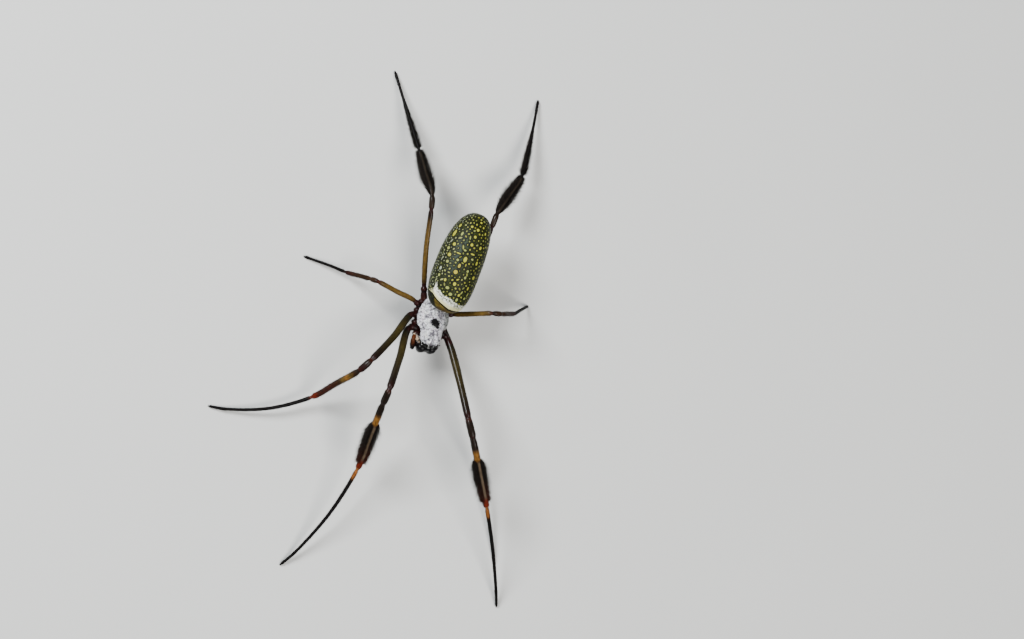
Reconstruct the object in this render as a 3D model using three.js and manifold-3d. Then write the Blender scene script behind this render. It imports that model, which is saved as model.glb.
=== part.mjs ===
// Female golden silk orb weaver, life size, standing on eight legs with its head toward -Y.
// Millimetres, +Z up, the floor at z = 0 and the spider's own left toward +X.
import * as THREE from 'three';
import { mergeVertices } from 'three/addons/utils/BufferGeometryUtils.js';
import Module from 'manifold-3d';

const wasm = await Module();
wasm.setup();

// General sizes
const JOINT_GAP = 0.3; // clear space left at every joint
const BODY_PLACE = [0.9, 2.5]; // puts the middle of the stance over the origin
const PROSOMA_TURN = THREE.MathUtils.degToRad(9); // front of the body looks to its left
const FLOOR_BLOCK = { size: 160, depth: 10 };

// Front body: rows run from the brow to the waist, as place along the body, half width, top and rim
const CARAPACE_ROWS = [
  [-4.75, 1.3, 10.0, 9.1],
  [-4.4, 1.75, 10.45, 8.9],
  [-3.4, 2.0, 10.95, 8.7],
  [-2.2, 2.1, 11.15, 8.5],
  [-1.4, 2.2, 11.0, 8.4],
  [-0.6, 2.85, 10.8, 8.3],
  [0.5, 3.2, 10.75, 8.25],
  [1.7, 3.2, 10.5, 8.2],
  [3.1, 2.75, 9.5, 8.1],
  [4.3, 1.95, 8.35, 7.8],
  [5.1, 1.1, 7.85, 7.5],
];
const CARAPACE_RIM = 0.4; // thickness of the overhanging rim
const CARAPACE_POWER = 2.3; // roundness of the dome's cross section
const TRUNK = { front: -3.2, back: 4.5, halfWidth: 1.85, bottom: 5.9, top: 8.9 };
const STERNUM = { front: -2.5, back: 3.4, halfWidth: 1.5, top: 5.6, bottom: 5.05 };
const MAXILLA = { x: 0.75, y: -2.9, z: 6.2, radius: 0.62 };

// Eyes: place on the head and radius, one side; each is mirrored
const EYES = [
  { name: 'front_middle', at: [0.42, -4.72, 9.78], radius: 0.2 },
  { name: 'rear_middle', at: [0.5, -4.5, 10.32], radius: 0.2 },
  { name: 'front_side', at: [1.68, -4.4, 9.55], radius: 0.17 },
  { name: 'rear_side', at: [1.9, -4.12, 9.85], radius: 0.17 },
];
const EYE_GAP = 0.1; // eyes are small, so their sockets fit closely

const CHELICERA = { top: [1.08, -4.8, 8.25], foot: [0.95, -5.35, 5.5], radius: 1.02 };
const CHELICERA_FORM = [[0, 0.55], [0.06, 0.8], [0.3, 1], [0.7, 0.94], [0.93, 0.68], [1, 0.4]];
const FANG = { root: [0.95, -5.4, 5.8], bend: [0.85, -5.6, 4.75], tip: [0.25, -4.6, 4.95], radius: 0.3 };
const PALPS = {
  right: [[1.75, -3.2, 6.4], [2.65, -2.9, 7.2], [3.25, -3.5, 8.1], [3.1, -4.8, 7.7], [2.65, -5.6, 6.4]],
  left: [[1.75, -3.2, 6.3], [2.45, -3.3, 5.9], [2.6, -3.9, 5.1], [2.25, -4.8, 4.3], [1.7, -5.7, 3.8]],
  form: [[0, 0.32], [0.06, 0.4], [0.3, 0.44], [0.42, 0.38], [0.5, 0.46], [0.78, 0.42], [0.95, 0.3], [1, 0.12]],
};

// Waist and hind body
const PEDICEL = { front: [-0.8, 5.42, 7.62], back: [-0.3, 6.55, 8.22], radius: 0.48 };
const ABDOMEN = {
  front: [0.2, 2.9, 11.8],
  length: 20.8,
  width: 9.4,
  height: 8.5,
  widest: 0.42, // share of the length at which it is widest
  frontPower: 2.9,
  backPower: 2.5,
  turn: THREE.MathUtils.degToRad(-3),
  lift: THREE.MathUtils.degToRad(3),
  bend: 0.33, // how far its middle bows to the animal's right
  sides: 28,
  rows: 22,
};
const SPINNERETS = { back: 18.9, below: -2.6, length: 1.2, radius: 0.3, count: 6, spread: 0.42 };

// Legs, first pair in front. Root is a plan place on the spider's left, mirrored for its right
const ROOT_HEIGHT = 6.85;
const PAIRS = [
  { root: [2.1, -1.5], coxa: 0.8, femur: 0.78, tibia: 0.68, metatarsus: 0.35 },
  { root: [2.14, 0.38], coxa: 0.78, femur: 0.75, tibia: 0.65, metatarsus: 0.34 },
  { root: [2.06, 2.1], coxa: 0.66, femur: 0.56, tibia: 0.48, metatarsus: 0.28 },
  { root: [1.9, 3.95], coxa: 0.72, femur: 0.57, tibia: 0.56, metatarsus: 0.31 },
];
// Stance: joints in space from hip to ankle, foot place on the floor, and how far femur and metatarsus
// bow forward. The left second leg is tucked close under the first
const STANCE = [
  {
    pair: 1, side: 'right', hip: [-3.8, -2.1, 7.2], knee: [-7.0, -15.3, 17.7], shin: [-6.8, -18.5, 16.0],
    ankle: [-5.2, -32.3, 7.6], foot: [-12.2, -55.4], bow: [0, 1.3],
  },
  {
    pair: 1, side: 'left', hip: [4.2, -1.8, 7.2], knee: [11.5, -15.9, 14.5], shin: [13.6, -19.5, 15.1],
    ankle: [22.2, -31.8, 10.8], foot: [34.3, -50.6], bow: [-0.3, -0.4],
  },
  {
    pair: 2, side: 'right', hip: [-4.0, 0.7, 7.2], knee: [-11.0, -10.8, 13.0], shin: [-12.5, -13.6, 12.1],
    ankle: [-17.6, -21.4, 3.5], foot: [-36.4, -29.5], bow: [0.2, 1.5],
  },
  {
    pair: 2, side: 'left', hip: [3.4, 0.2, 4.7], knee: [10.7, -11.8, 9.0], shin: [12.8, -15.1, 9.0],
    ankle: [20.2, -24.4, 4.1], foot: [30.9, -42.1], bow: [-0.5, -0.3],
  },
  {
    pair: 3, side: 'right', hip: [-4.4, 3.2, 7.2], knee: [-13.5, 4.5, 9.1], shin: [-14.8, 4.6, 7.6],
    ankle: [-18.7, 4.5, 2.3], foot: [-27.2, 4.9], bow: [0, -0.1],
  },
  {
    pair: 3, side: 'left', hip: [4.0, 3.1, 7.2], knee: [9.9, 5.6, 13.4], shin: [12.0, 6.1, 12.8],
    ankle: [16.1, 7.2, 8.0], foot: [20.8, 9.8], bow: [0, 0],
  },
  {
    pair: 4, side: 'right', hip: [-3.6, 6.6, 7.2], knee: [-8.2, 21.5, 10.9], shin: [-8.9, 24.2, 10.7],
    ankle: [-13.0, 32.4, 5.7], foot: [-21.2, 46.0], bow: [0.3, 0],
  },
  {
    pair: 4, side: 'left', hip: [3.4, 6.6, 7.2], knee: [5.5, 22.1, 9.3], shin: [5.7, 25.1, 9.3],
    ankle: [9.5, 34.3, 5.3], foot: [9.4, 50.2], bow: [0.4, -0.2],
  },
];
const TARSUS_LENGTH = [3.8, 3.5, 2.6, 3.3];
const FOOT_RADIUS = 0.27;
const FOOT_HEIGHT = 0.24; // the sole is cut flat at the floor

// Radius along each piece of a leg, as pairs of share of its length and share of its full radius
const COXA_FORM = [
  [0, 0.72], [0.12, 0.95], [0.4, 0.98], [0.6, 0.86], [0.67, 0.78], [0.8, 0.98], [0.93, 0.96], [1, 0.78],
];
const FEMUR_FORM = [[0, 0.74], [0.05, 0.93], [0.25, 1], [0.6, 0.94], [0.93, 0.94], [1, 0.7]];
const PATELLA_FORM = [[0, 0.86], [0.2, 1.08], [0.75, 1.12], [1, 0.84]];
const TIBIA_FORM = [[0, 0.8], [0.06, 1.02], [0.5, 0.95], [0.93, 0.94], [1, 0.7]];
const METATARSUS_FORM = [[0, 0.85], [0.03, 1.25], [0.12, 1.12], [0.45, 1], [0.8, 0.86], [0.84, 0.94]];
const FOOT_FORM = [[0.97, 1], [1, 0.8]];
const LEG_SIDES = 8;

// Bristle brushes by leg pair: the share of the piece they cover, the radius of their dense base, how far
// the locks stand out of it, and how many there are
const BRUSHES = {
  1: { tibia: { from: 0.3, to: 0.9, core: 0.96, reach: 0.55, fade: 0.15, locks: 42 } },
  4: {
    tibia: { from: 0.06, to: 0.95, core: 0.82, reach: 0.52, fade: 0.2, locks: 38 },
    metatarsus: { from: 0.04, to: 0.45, core: 0.48, reach: 0.45, fade: 0.5, locks: 14 },
  },
};
const CORE_EDGE = { length: 0.05, height: 0.62 }; // how the dense base starts and ends
// One lock: its rings as place along it, share of the half width and share of the thickness
const LOCK = {
  rings: [[0, 0.8, 1], [0.6, 1, 0.8], [1, 0.1, 0.12]],
  halfWidth: 0.45,
  thickness: 0.34,
  root: 0.45, // where it starts inside the base, as a share of the base's radius
  lean: 1.7, // how far the tip lies along the leg, per reach
  unevenness: 0.2,
  end: 0.5, // reach left at both ends of a brush
};

const COLOURS = {
  shell: new THREE.Color(0.62, 0.62, 0.6),
  black: new THREE.Color(0.03, 0.025, 0.025),
  abdomen: new THREE.Color(0.13, 0.15, 0.11),
  maroon: new THREE.Color(0.16, 0.05, 0.03),
  olive: new THREE.Color(0.2, 0.14, 0.05),
  orange: new THREE.Color(0.5, 0.2, 0.05),
};

const vector = (place) => new THREE.Vector3(...place);
const mirrored = (place, side) => vector([place[0] * side, place[1], place[2]]);
const sideSign = (side) => (side === 'left' ? 1 : -1);

// Closed body through a row of rings with the same number of points, with a fan over each end
function loft(rings) {
  const count = rings[0].length;
  const points = rings.flat();
  const faces = [];
  for (let row = 0; row + 1 < rings.length; row += 1) {
    for (let i = 0; i < count; i += 1) {
      const a = row * count + i;
      const b = row * count + ((i + 1) % count);
      faces.push(a, b, a + count, b, b + count, a + count);
    }
  }
  for (const last of [false, true]) {
    const start = last ? (rings.length - 1) * count : 0;
    const middle = new THREE.Vector3();
    const ring = rings[last ? rings.length - 1 : 0];
    ring.forEach((point) => middle.addScaledVector(point, 1 / count));
    points.push(middle);
    for (let i = 0; i < count; i += 1) {
      const pair = [start + i, start + ((i + 1) % count)];
      faces.push(points.length - 1, ...(last ? pair : pair.reverse()));
    }
  }
  const geometry = new THREE.BufferGeometry().setFromPoints(points);
  geometry.setIndex(faces);
  return facingOut(geometry);
}

// Turns the triangles over where the body came out inside out
function facingOut(geometry) {
  const position = geometry.getAttribute('position');
  const index = geometry.getIndex().array;
  const corner = [new THREE.Vector3(), new THREE.Vector3(), new THREE.Vector3()];
  let volume = 0;
  for (let i = 0; i < index.length; i += 3) {
    corner.forEach((point, k) => point.fromBufferAttribute(position, index[i + k]));
    volume += corner[0].dot(corner[1].cross(corner[2]));
  }
  if (volume < 0) {
    for (let i = 0; i < index.length; i += 3) {
      [index[i], index[i + 1]] = [index[i + 1], index[i]];
    }
  }
  return geometry;
}

function toSolid(geometry) {
  const bare = geometry.clone();
  bare.deleteAttribute('normal');
  bare.deleteAttribute('uv');
  const merged = mergeVertices(bare, 1e-5);
  const vertProperties = new Float32Array(merged.getAttribute('position').array);
  const triVerts = new Uint32Array(merged.getIndex().array);
  return new wasm.Manifold(new wasm.Mesh({ numProp: 3, vertProperties, triVerts }));
}

// The largest closed surface of a solid, as a geometry
function toGeometry(solid) {
  const bodies = solid.decompose();
  const body = bodies.reduce((best, next) => (next.volume() > best.volume() ? next : best));
  const mesh = body.getMesh();
  const geometry = new THREE.BufferGeometry();
  geometry.setAttribute('position', new THREE.BufferAttribute(new Float32Array(mesh.vertProperties), 3));
  geometry.setIndex(new THREE.BufferAttribute(new Uint32Array(mesh.triVerts), 1));
  return geometry;
}

const joined = (geometries) => toGeometry(wasm.Manifold.union(geometries.map(toSolid)));

// Point of a superellipse: a power of 2 is an ellipse, more is squarer
function superellipse(angle, power) {
  const bend = (value) => Math.sign(value) * Math.abs(value) ** (2 / power);
  return [bend(Math.cos(angle)), bend(Math.sin(angle))];
}

function ringAngles(sides) {
  return Array.from({ length: sides }, (unused, i) => (2 * Math.PI * i) / sides);
}

// Upright ring across the body at y, from separate half heights above and below its middle
function uprightRing(y, halfWidth, top, middle, bottom, sides, power) {
  return ringAngles(sides).map((angle) => {
    const [x, z] = superellipse(angle, power);
    return new THREE.Vector3(x * halfWidth, y, middle + z * (z > 0 ? top - middle : middle - bottom));
  });
}

// Round body along a path; form lists the share of the length and the radius there
function sweep(path, form, sides) {
  const up = new THREE.Vector3(0, 0, 1);
  const rings = form.map(([share, radius]) => {
    const { point, tangent } = path(share);
    const across = new THREE.Vector3().crossVectors(up, tangent).normalize();
    const over = new THREE.Vector3().crossVectors(tangent, across);
    return ringAngles(sides).map((angle) => point.clone()
      .addScaledVector(across, radius * Math.cos(angle))
      .addScaledVector(over, radius * Math.sin(angle)));
  });
  return loft(rings);
}

// Repeatable random numbers between -1 and 1
function wobble(seed) {
  let state = seed;
  return () => {
    state = (state * 1664525 + 1013904223) % 4294967296;
    return (2 * state) / 4294967296 - 1;
  };
}

// One flat tapered lock with a ridge on its outer face: it rises inside the piece and bends to the leg's tip
function lockGeometry({ point, tangent }, angle, core, reach) {
  const across = new THREE.Vector3().crossVectors(new THREE.Vector3(0, 0, 1), tangent).normalize();
  const outward = across.applyAxisAngle(tangent, angle);
  const around = new THREE.Vector3().crossVectors(tangent, outward);
  const place = (out, along) => point.clone().addScaledVector(outward, out).addScaledVector(tangent, along);
  const curve = new THREE.QuadraticBezierCurve3(place(LOCK.root * core, 0),
    place(core + 0.6 * reach, 0.3 * reach), place(core + reach, LOCK.lean * reach));
  const width = LOCK.halfWidth * Math.min(1, 1.3 * core);
  const rings = LOCK.rings.map(([share, wide, thick]) => {
    const ridge = new THREE.Vector3().crossVectors(around, curve.getTangent(share)).normalize();
    const centre = curve.getPoint(share);
    const edge = (side) => centre.clone().addScaledVector(around, side * width * wide);
    return [edge(-1), centre.clone().addScaledVector(ridge, LOCK.thickness * thick), edge(1)];
  });
  return loft(rings);
}

// Locks of one brush, wound round the piece at the golden angle
function brushLocks(path, brush, seed) {
  const golden = Math.PI * (3 - Math.sqrt(5));
  const random = wobble(seed);
  return Array.from({ length: brush.locks }, (unused, i) => {
    const along = (i + 0.5 + 0.3 * random()) / brush.locks;
    const fromEnd = 2.5 * Math.min(along, 1 - along);
    const swell = Math.min(1, LOCK.end + fromEnd) * (1 - brush.fade * along);
    const reach = brush.reach * swell * (1 + LOCK.unevenness * random());
    const place = path(brush.from + (brush.to - CORE_EDGE.length - brush.from) * along);
    return lockGeometry(place, i * golden + 0.25 * random(), brush.core * Math.sqrt(swell), reach);
  });
}

// Round piece of a leg, with its brush and the dense base of the brush where it has one
function brushedSweep(path, form, brush, seed) {
  if (!brush) {
    return sweep(path, form, LEG_SIDES);
  }
  const outside = form.filter(([share]) => share < brush.from || share > brush.to);
  const low = CORE_EDGE.height * brush.core;
  const base = [[brush.from, low], [brush.from + CORE_EDGE.length, brush.core],
    [brush.to - CORE_EDGE.length, brush.core], [brush.to, low]];
  const whole = [...outside, ...base].sort((a, b) => a[0] - b[0]);
  return joined([sweep(path, whole, LEG_SIDES), ...brushLocks(path, brush, seed)]);
}

const alongCurve = (curve) => (share) => ({ point: curve.getPointAt(share), tangent: curve.getTangentAt(share) });
const scaled = (form, radius) => form.map(([share, factor]) => [share, factor * radius]);

const model = new THREE.Group();
model.position.set(...BODY_PLACE, 0);
const prosoma = new THREE.Group();
prosoma.rotation.z = PROSOMA_TURN;
model.add(prosoma);

// Adds a named piece whose own origin is at pivot, a place in its group
function addNode(group, name, geometry, pivot, colour, roughness) {
  const material = new THREE.MeshStandardMaterial({ color: colour, roughness, metalness: 0 });
  const mesh = new THREE.Mesh(geometry.translate(-pivot.x, -pivot.y, -pivot.z), material);
  mesh.name = name;
  mesh.position.copy(pivot);
  group.add(mesh);
}

// Head and thorax shield with the softer trunk under it, in which the leg roots and mouth parts sit
function carapaceGeometry() {
  const profile = (column) => new THREE.CatmullRomCurve3(
    CARAPACE_ROWS.map((row) => new THREE.Vector3(row[0], row[column], 0)), false, 'centripetal');
  const [widths, tops, rims] = [1, 2, 3].map(profile);
  const rowCount = Math.round(1.6 * (CARAPACE_ROWS.length - 1));
  const rings = Array.from({ length: rowCount + 1 }, (unused, i) => {
    const width = widths.getPoint(i / rowCount);
    const top = tops.getPoint(i / rowCount).y;
    const rim = rims.getPoint(i / rowCount).y;
    return uprightRing(width.x, width.y, top, rim, rim - CARAPACE_RIM, 24, CARAPACE_POWER);
  });
  return joined([loft(rings), trunkGeometry(), ...[1, -1].map(maxillaGeometry)]);
}

function trunkGeometry() {
  const rows = 10;
  const length = TRUNK.back - TRUNK.front;
  const middle = (TRUNK.top + TRUNK.bottom) / 2;
  const rings = Array.from({ length: rows + 1 }, (unused, i) => {
    const share = 0.02 + (0.96 * i) / rows;
    const [, fullness] = superellipse(Math.acos(2 * share - 1), 3);
    const halfHeight = (TRUNK.top - middle) * (0.55 + 0.45 * fullness);
    return uprightRing(TRUNK.front + share * length, TRUNK.halfWidth * fullness, middle + halfHeight, middle,
      middle - halfHeight, 16, 2.6);
  });
  return loft(rings);
}

function maxillaGeometry(side) {
  const bump = new THREE.SphereGeometry(MAXILLA.radius, 8, 6);
  bump.scale(0.75, 1.3, 0.9);
  return bump.translate(side * MAXILLA.x, MAXILLA.y, MAXILLA.z);
}

function sternumGeometry() {
  const rows = 8;
  const middle = STERNUM.top - 0.1;
  const rings = Array.from({ length: rows + 1 }, (unused, i) => {
    const share = 0.04 + (0.92 * i) / rows;
    const bulge = Math.sin(Math.PI * share) ** 0.6;
    const halfWidth = STERNUM.halfWidth * bulge * (1.08 - 0.3 * share);
    const y = STERNUM.front + share * (STERNUM.back - STERNUM.front);
    return uprightRing(y, halfWidth, STERNUM.top, middle, middle - (middle - STERNUM.bottom) * bulge, 14, 2.4);
  });
  return loft(rings);
}

function eyeGeometry(eye, side, clearance) {
  const ball = new THREE.SphereGeometry(eye.radius + clearance, 8, 6);
  ball.rotateX(Math.PI / 2);
  return ball.translate(side * eye.at[0], eye.at[1], eye.at[2]);
}

function addFrontBody() {
  const sockets = EYES.flatMap((eye) => [1, -1].map((side) => toSolid(eyeGeometry(eye, side, EYE_GAP))));
  const shell = toSolid(carapaceGeometry()).subtract(wasm.Manifold.union(sockets));
  addNode(prosoma, 'carapace', toGeometry(shell), vector([0, 0, TRUNK.top]), COLOURS.shell, 0.7);
  addNode(prosoma, 'sternum', sternumGeometry(), vector([0, 0, STERNUM.top]), COLOURS.maroon, 0.4);
  for (const side of ['left', 'right']) {
    const sign = sideSign(side);
    for (const eye of EYES) {
      const name = `eye_${eye.name}_${side}`;
      addNode(prosoma, name, eyeGeometry(eye, sign, 0), mirrored(eye.at, sign), COLOURS.black, 0.1);
    }
    const jawTop = mirrored(CHELICERA.top, sign);
    addNode(prosoma, `chelicera_${side}`, cheliceraGeometry(sign), jawTop, COLOURS.black, 0.25);
    const places = PALPS[side].map((place) => mirrored(place, sign));
    const palp = sweep(alongCurve(new THREE.CatmullRomCurve3(places)), PALPS.form, LEG_SIDES);
    addNode(prosoma, `palp_${side}`, palp, places[0], COLOURS.orange, 0.4);
  }
}

// Jaw base with its folded fang, whose root is sunk in the jaw's lower end
function cheliceraGeometry(sign) {
  const jaw = new THREE.LineCurve3(mirrored(CHELICERA.top, sign), mirrored(CHELICERA.foot, sign));
  const fangPlaces = [FANG.root, FANG.bend, FANG.tip].map((place) => mirrored(place, sign));
  const fang = new THREE.QuadraticBezierCurve3(...fangPlaces);
  const fangForm = scaled([[0, 1], [0.5, 0.8], [1, 0.2]], FANG.radius);
  const { x } = mirrored(CHELICERA.top, sign);
  const base = sweep(alongCurve(jaw), scaled(CHELICERA_FORM, CHELICERA.radius), 12);
  base.translate(-x, 0, 0).scale(0.9, 1, 1).translate(x, 0, 0);
  return joined([base, sweep(alongCurve(fang), fangForm, 6)]);
}

// Round body of the abdomen about its own long axis, with a blunt front and a longer rounded tail
function abdomenGeometry(clearance) {
  const profile = Array.from({ length: ABDOMEN.rows + 1 }, (unused, i) => {
    const share = (1 - Math.cos((Math.PI * i) / ABDOMEN.rows)) / 2;
    const front = share < ABDOMEN.widest;
    const power = front ? ABDOMEN.frontPower : ABDOMEN.backPower;
    const reach = front ? 1 - share / ABDOMEN.widest : (share - ABDOMEN.widest) / (1 - ABDOMEN.widest);
    const radius = Math.max(0, 1 - reach ** power) ** (1 / power);
    return new THREE.Vector2(radius, share * (ABDOMEN.length + 2 * clearance) - clearance);
  });
  profile[0].x = 0;
  profile[ABDOMEN.rows].x = 0;
  const geometry = new THREE.LatheGeometry(profile, ABDOMEN.sides);
  geometry.scale(ABDOMEN.width / 2 + clearance, 1, ABDOMEN.height / 2 + clearance);
  const place = geometry.getAttribute('position');
  for (let i = 0; i < place.count; i += 1) {
    const share = place.getY(i) / ABDOMEN.length;
    place.setX(i, place.getX(i) - 4 * ABDOMEN.bend * share * (1 - share));
  }
  return geometry;
}

// Three pairs of short blunt cones in a ring, fused to a low boss under the tail
function spinneretGeometry() {
  const boss = new THREE.SphereGeometry(0.75, 10, 6);
  boss.scale(1, 1, 0.6);
  const cones = ringAngles(SPINNERETS.count).map((angle) => {
    const cone = new THREE.CylinderGeometry(SPINNERETS.radius, 0.12, SPINNERETS.length, 6);
    cone.rotateX(Math.PI / 2).translate(0, 0, -SPINNERETS.length / 2);
    cone.rotateX(-0.25 * Math.sin(angle)).rotateY(0.25 * Math.cos(angle));
    return cone.translate(SPINNERETS.spread * Math.cos(angle), SPINNERETS.spread * Math.sin(angle), 0);
  });
  return joined([boss, ...cones]);
}

function addHindBody() {
  const waist = new THREE.LineCurve3(vector(PEDICEL.front), vector(PEDICEL.back));
  const waistForm = scaled([[0, 0.9], [0.4, 1], [1, 0.9]], PEDICEL.radius);
  const hind = new THREE.Group();
  hind.position.set(...ABDOMEN.front);
  hind.rotation.set(ABDOMEN.lift, 0, ABDOMEN.turn, 'ZXY');
  model.add(hind);
  const body = toSolid(abdomenGeometry(0));
  hind.updateMatrixWorld();
  const toHind = hind.matrix.clone().invert();
  const wider = waistForm.map(([share, radius]) => [share, radius + JOINT_GAP]);
  const deeper = waist.getPoint(1 + JOINT_GAP / waist.getLength());
  const clearance = sweep(alongCurve(new THREE.LineCurve3(waist.v1, deeper)), wider, 10);
  const socket = toSolid(clearance.applyMatrix4(toHind));
  const tail = toSolid(spinneretGeometry().translate(0, SPINNERETS.back, SPINNERETS.below));
  addNode(hind, 'abdomen', toGeometry(body.subtract(socket)), new THREE.Vector3(), COLOURS.abdomen, 0.45);
  const spinnerets = toGeometry(tail.subtract(toSolid(abdomenGeometry(JOINT_GAP))));
  addNode(hind, 'spinnerets', spinnerets, vector([0, SPINNERETS.back, SPINNERETS.below]), COLOURS.maroon, 0.5);
  const stalk = sweep(alongCurve(waist), waistForm, 10);
  addNode(model, 'pedicel', stalk, vector(PEDICEL.front), COLOURS.maroon, 0.4);
}

// Smooth path of one leg, with the length along it of each joint
function legPath(stance) {
  const sign = sideSign(stance.side);
  const pair = PAIRS[stance.pair - 1];
  const turn = (point) => point.applyAxisAngle(new THREE.Vector3(0, 0, 1), PROSOMA_TURN);
  const root = turn(vector([sign * pair.root[0], pair.root[1], ROOT_HEIGHT]));
  const [hip, knee, shin, ankle] = [stance.hip, stance.knee, stance.shin, stance.ankle].map(vector);
  const toe = vector([...stance.foot, FOOT_HEIGHT]);
  const bowed = (from, to, share, bow) => {
    const side = new THREE.Vector3().subVectors(to, from).cross(new THREE.Vector3(0, 0, 1)).normalize();
    const forward = side.y < 0 ? side : side.negate();
    return from.clone().lerp(to, share).addScaledVector(forward, bow);
  };
  const tarsus = 1 - TARSUS_LENGTH[stance.pair - 1] / ankle.distanceTo(toe);
  const points = [root, hip, bowed(hip, knee, 0.5, stance.bow[0]), knee, shin, shin.clone().lerp(ankle, 0.5),
    ankle, bowed(ankle, toe, tarsus / 2, stance.bow[1]), bowed(ankle, toe, tarsus, stance.bow[1] * 0.6), toe];
  const curve = new THREE.CatmullRomCurve3(points, false, 'centripetal');
  const steps = 30;
  curve.arcLengthDivisions = steps * (points.length - 1);
  const lengths = curve.getLengths();
  return { curve, lengthAt: points.map((unused, i) => lengths[i * steps]), total: lengths.at(-1) };
}

// Path of the stretch of a leg between two of its joints, with half the gap left at each
function stretch(leg, from, to) {
  const start = leg.lengthAt[from] + JOINT_GAP / 2;
  const end = leg.lengthAt[to] - (to === leg.lengthAt.length - 1 ? 0 : JOINT_GAP / 2);
  return (share) => {
    const along = Math.min(1, (start + share * (end - start)) / leg.total);
    return { point: leg.curve.getPointAt(along), tangent: leg.curve.getTangentAt(along) };
  };
}

function floorBlock() {
  const block = new THREE.BoxGeometry(FLOOR_BLOCK.size, FLOOR_BLOCK.size, FLOOR_BLOCK.depth);
  return block.translate(0, 0, -FLOOR_BLOCK.depth / 2);
}

// Long thin outer piece of a leg, ending in a sole cut flat at the floor
function footGeometry(path, radius, brush, seed) {
  const form = [...scaled(METATARSUS_FORM, radius), ...scaled(FOOT_FORM, FOOT_RADIUS)];
  return toGeometry(toSolid(brushedSweep(path, form, brush, seed)).subtract(toSolid(floorBlock())));
}

function addLeg(stance) {
  const pair = PAIRS[stance.pair - 1];
  const leg = legPath(stance);
  const label = `leg_${stance.pair}_${stance.side}`;
  const pieces = [
    { name: 'coxa', from: 0, to: 1, form: scaled(COXA_FORM, pair.coxa), colour: COLOURS.maroon },
    { name: 'femur', from: 1, to: 3, form: scaled(FEMUR_FORM, pair.femur), colour: COLOURS.olive },
    { name: 'patella', from: 3, to: 4, form: scaled(PATELLA_FORM, pair.tibia), colour: COLOURS.maroon },
  ];
  for (const { name, from, to, form, colour } of pieces) {
    const path = stretch(leg, from, to);
    addNode(model, `${label}_${name}`, sweep(path, form, LEG_SIDES), path(0).point, colour, 0.4);
  }
  const brushes = BRUSHES[stance.pair] ?? {};
  const seed = 10 * stance.pair + sideSign(stance.side);
  const shin = stretch(leg, 4, 6);
  const shinBody = brushedSweep(shin, scaled(TIBIA_FORM, pair.tibia), brushes.tibia, seed);
  addNode(model, `${label}_tibia`, shinBody, shin(0).point, COLOURS.black, 0.4);
  const foot = stretch(leg, 6, leg.lengthAt.length - 1);
  const footBody = footGeometry(foot, pair.metatarsus, brushes.metatarsus, seed);
  addNode(model, `${label}_metatarsus`, footBody, foot(0).point, COLOURS.black, 0.4);
}

addFrontBody();
addHindBody();
STANCE.forEach(addLeg);

export default model;
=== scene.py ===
"""Looks of a female golden silk orb weaver that stands on a plain pale floor.

Sizes are in millimetres in the body's own plan, head toward -Y and the animal's left toward +X, and become
metres in the frame's place when a mesh is made.
"""

import logging
import math
from dataclasses import dataclass, field
from enum import Enum
from typing import Callable, Sequence

import bmesh
import bpy
import numpy as np
from mathutils import Matrix, Vector


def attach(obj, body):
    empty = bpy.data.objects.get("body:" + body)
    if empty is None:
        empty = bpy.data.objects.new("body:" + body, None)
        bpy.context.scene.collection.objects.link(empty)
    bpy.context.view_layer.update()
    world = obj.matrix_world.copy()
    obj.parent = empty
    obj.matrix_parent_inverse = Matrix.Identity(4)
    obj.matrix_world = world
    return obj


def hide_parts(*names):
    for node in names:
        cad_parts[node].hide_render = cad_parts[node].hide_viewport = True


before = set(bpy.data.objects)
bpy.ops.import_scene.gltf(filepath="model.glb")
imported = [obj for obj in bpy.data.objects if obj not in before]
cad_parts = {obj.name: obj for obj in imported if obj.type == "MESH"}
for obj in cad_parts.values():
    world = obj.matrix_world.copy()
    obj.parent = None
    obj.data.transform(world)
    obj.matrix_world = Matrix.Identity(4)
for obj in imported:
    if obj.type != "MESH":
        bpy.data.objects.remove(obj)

LOG = logging.getLogger("orb_weaver")
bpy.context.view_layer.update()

MM = 0.001
BODY_PLACE = np.array([0.9, 2.5, 0.0])
PROSOMA_TURN = math.radians(9)
JOINT_GAP = 0.3
UP = np.array([0.0, 0.0, 1.0])
BACKWARD = np.array([[0.0, 1.0, 0.0]])
ORIGIN = np.zeros((1, 3))

Array = np.ndarray
Mesh = bpy.types.Mesh
Socket = bpy.types.NodeSocket
Change = Callable[[Array], Array]
Colour = tuple[float, float, float]
Point = tuple[float, float, float]
Profile = Sequence[tuple[float, float]]


class Side(Enum):
    """The two sides of the body, with the sign of X on each."""

    RIGHT = -1
    LEFT = 1

    @property
    def word(self) -> str:
        """Name of the side as the nodes write it."""
        return self.name.lower()


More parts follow.
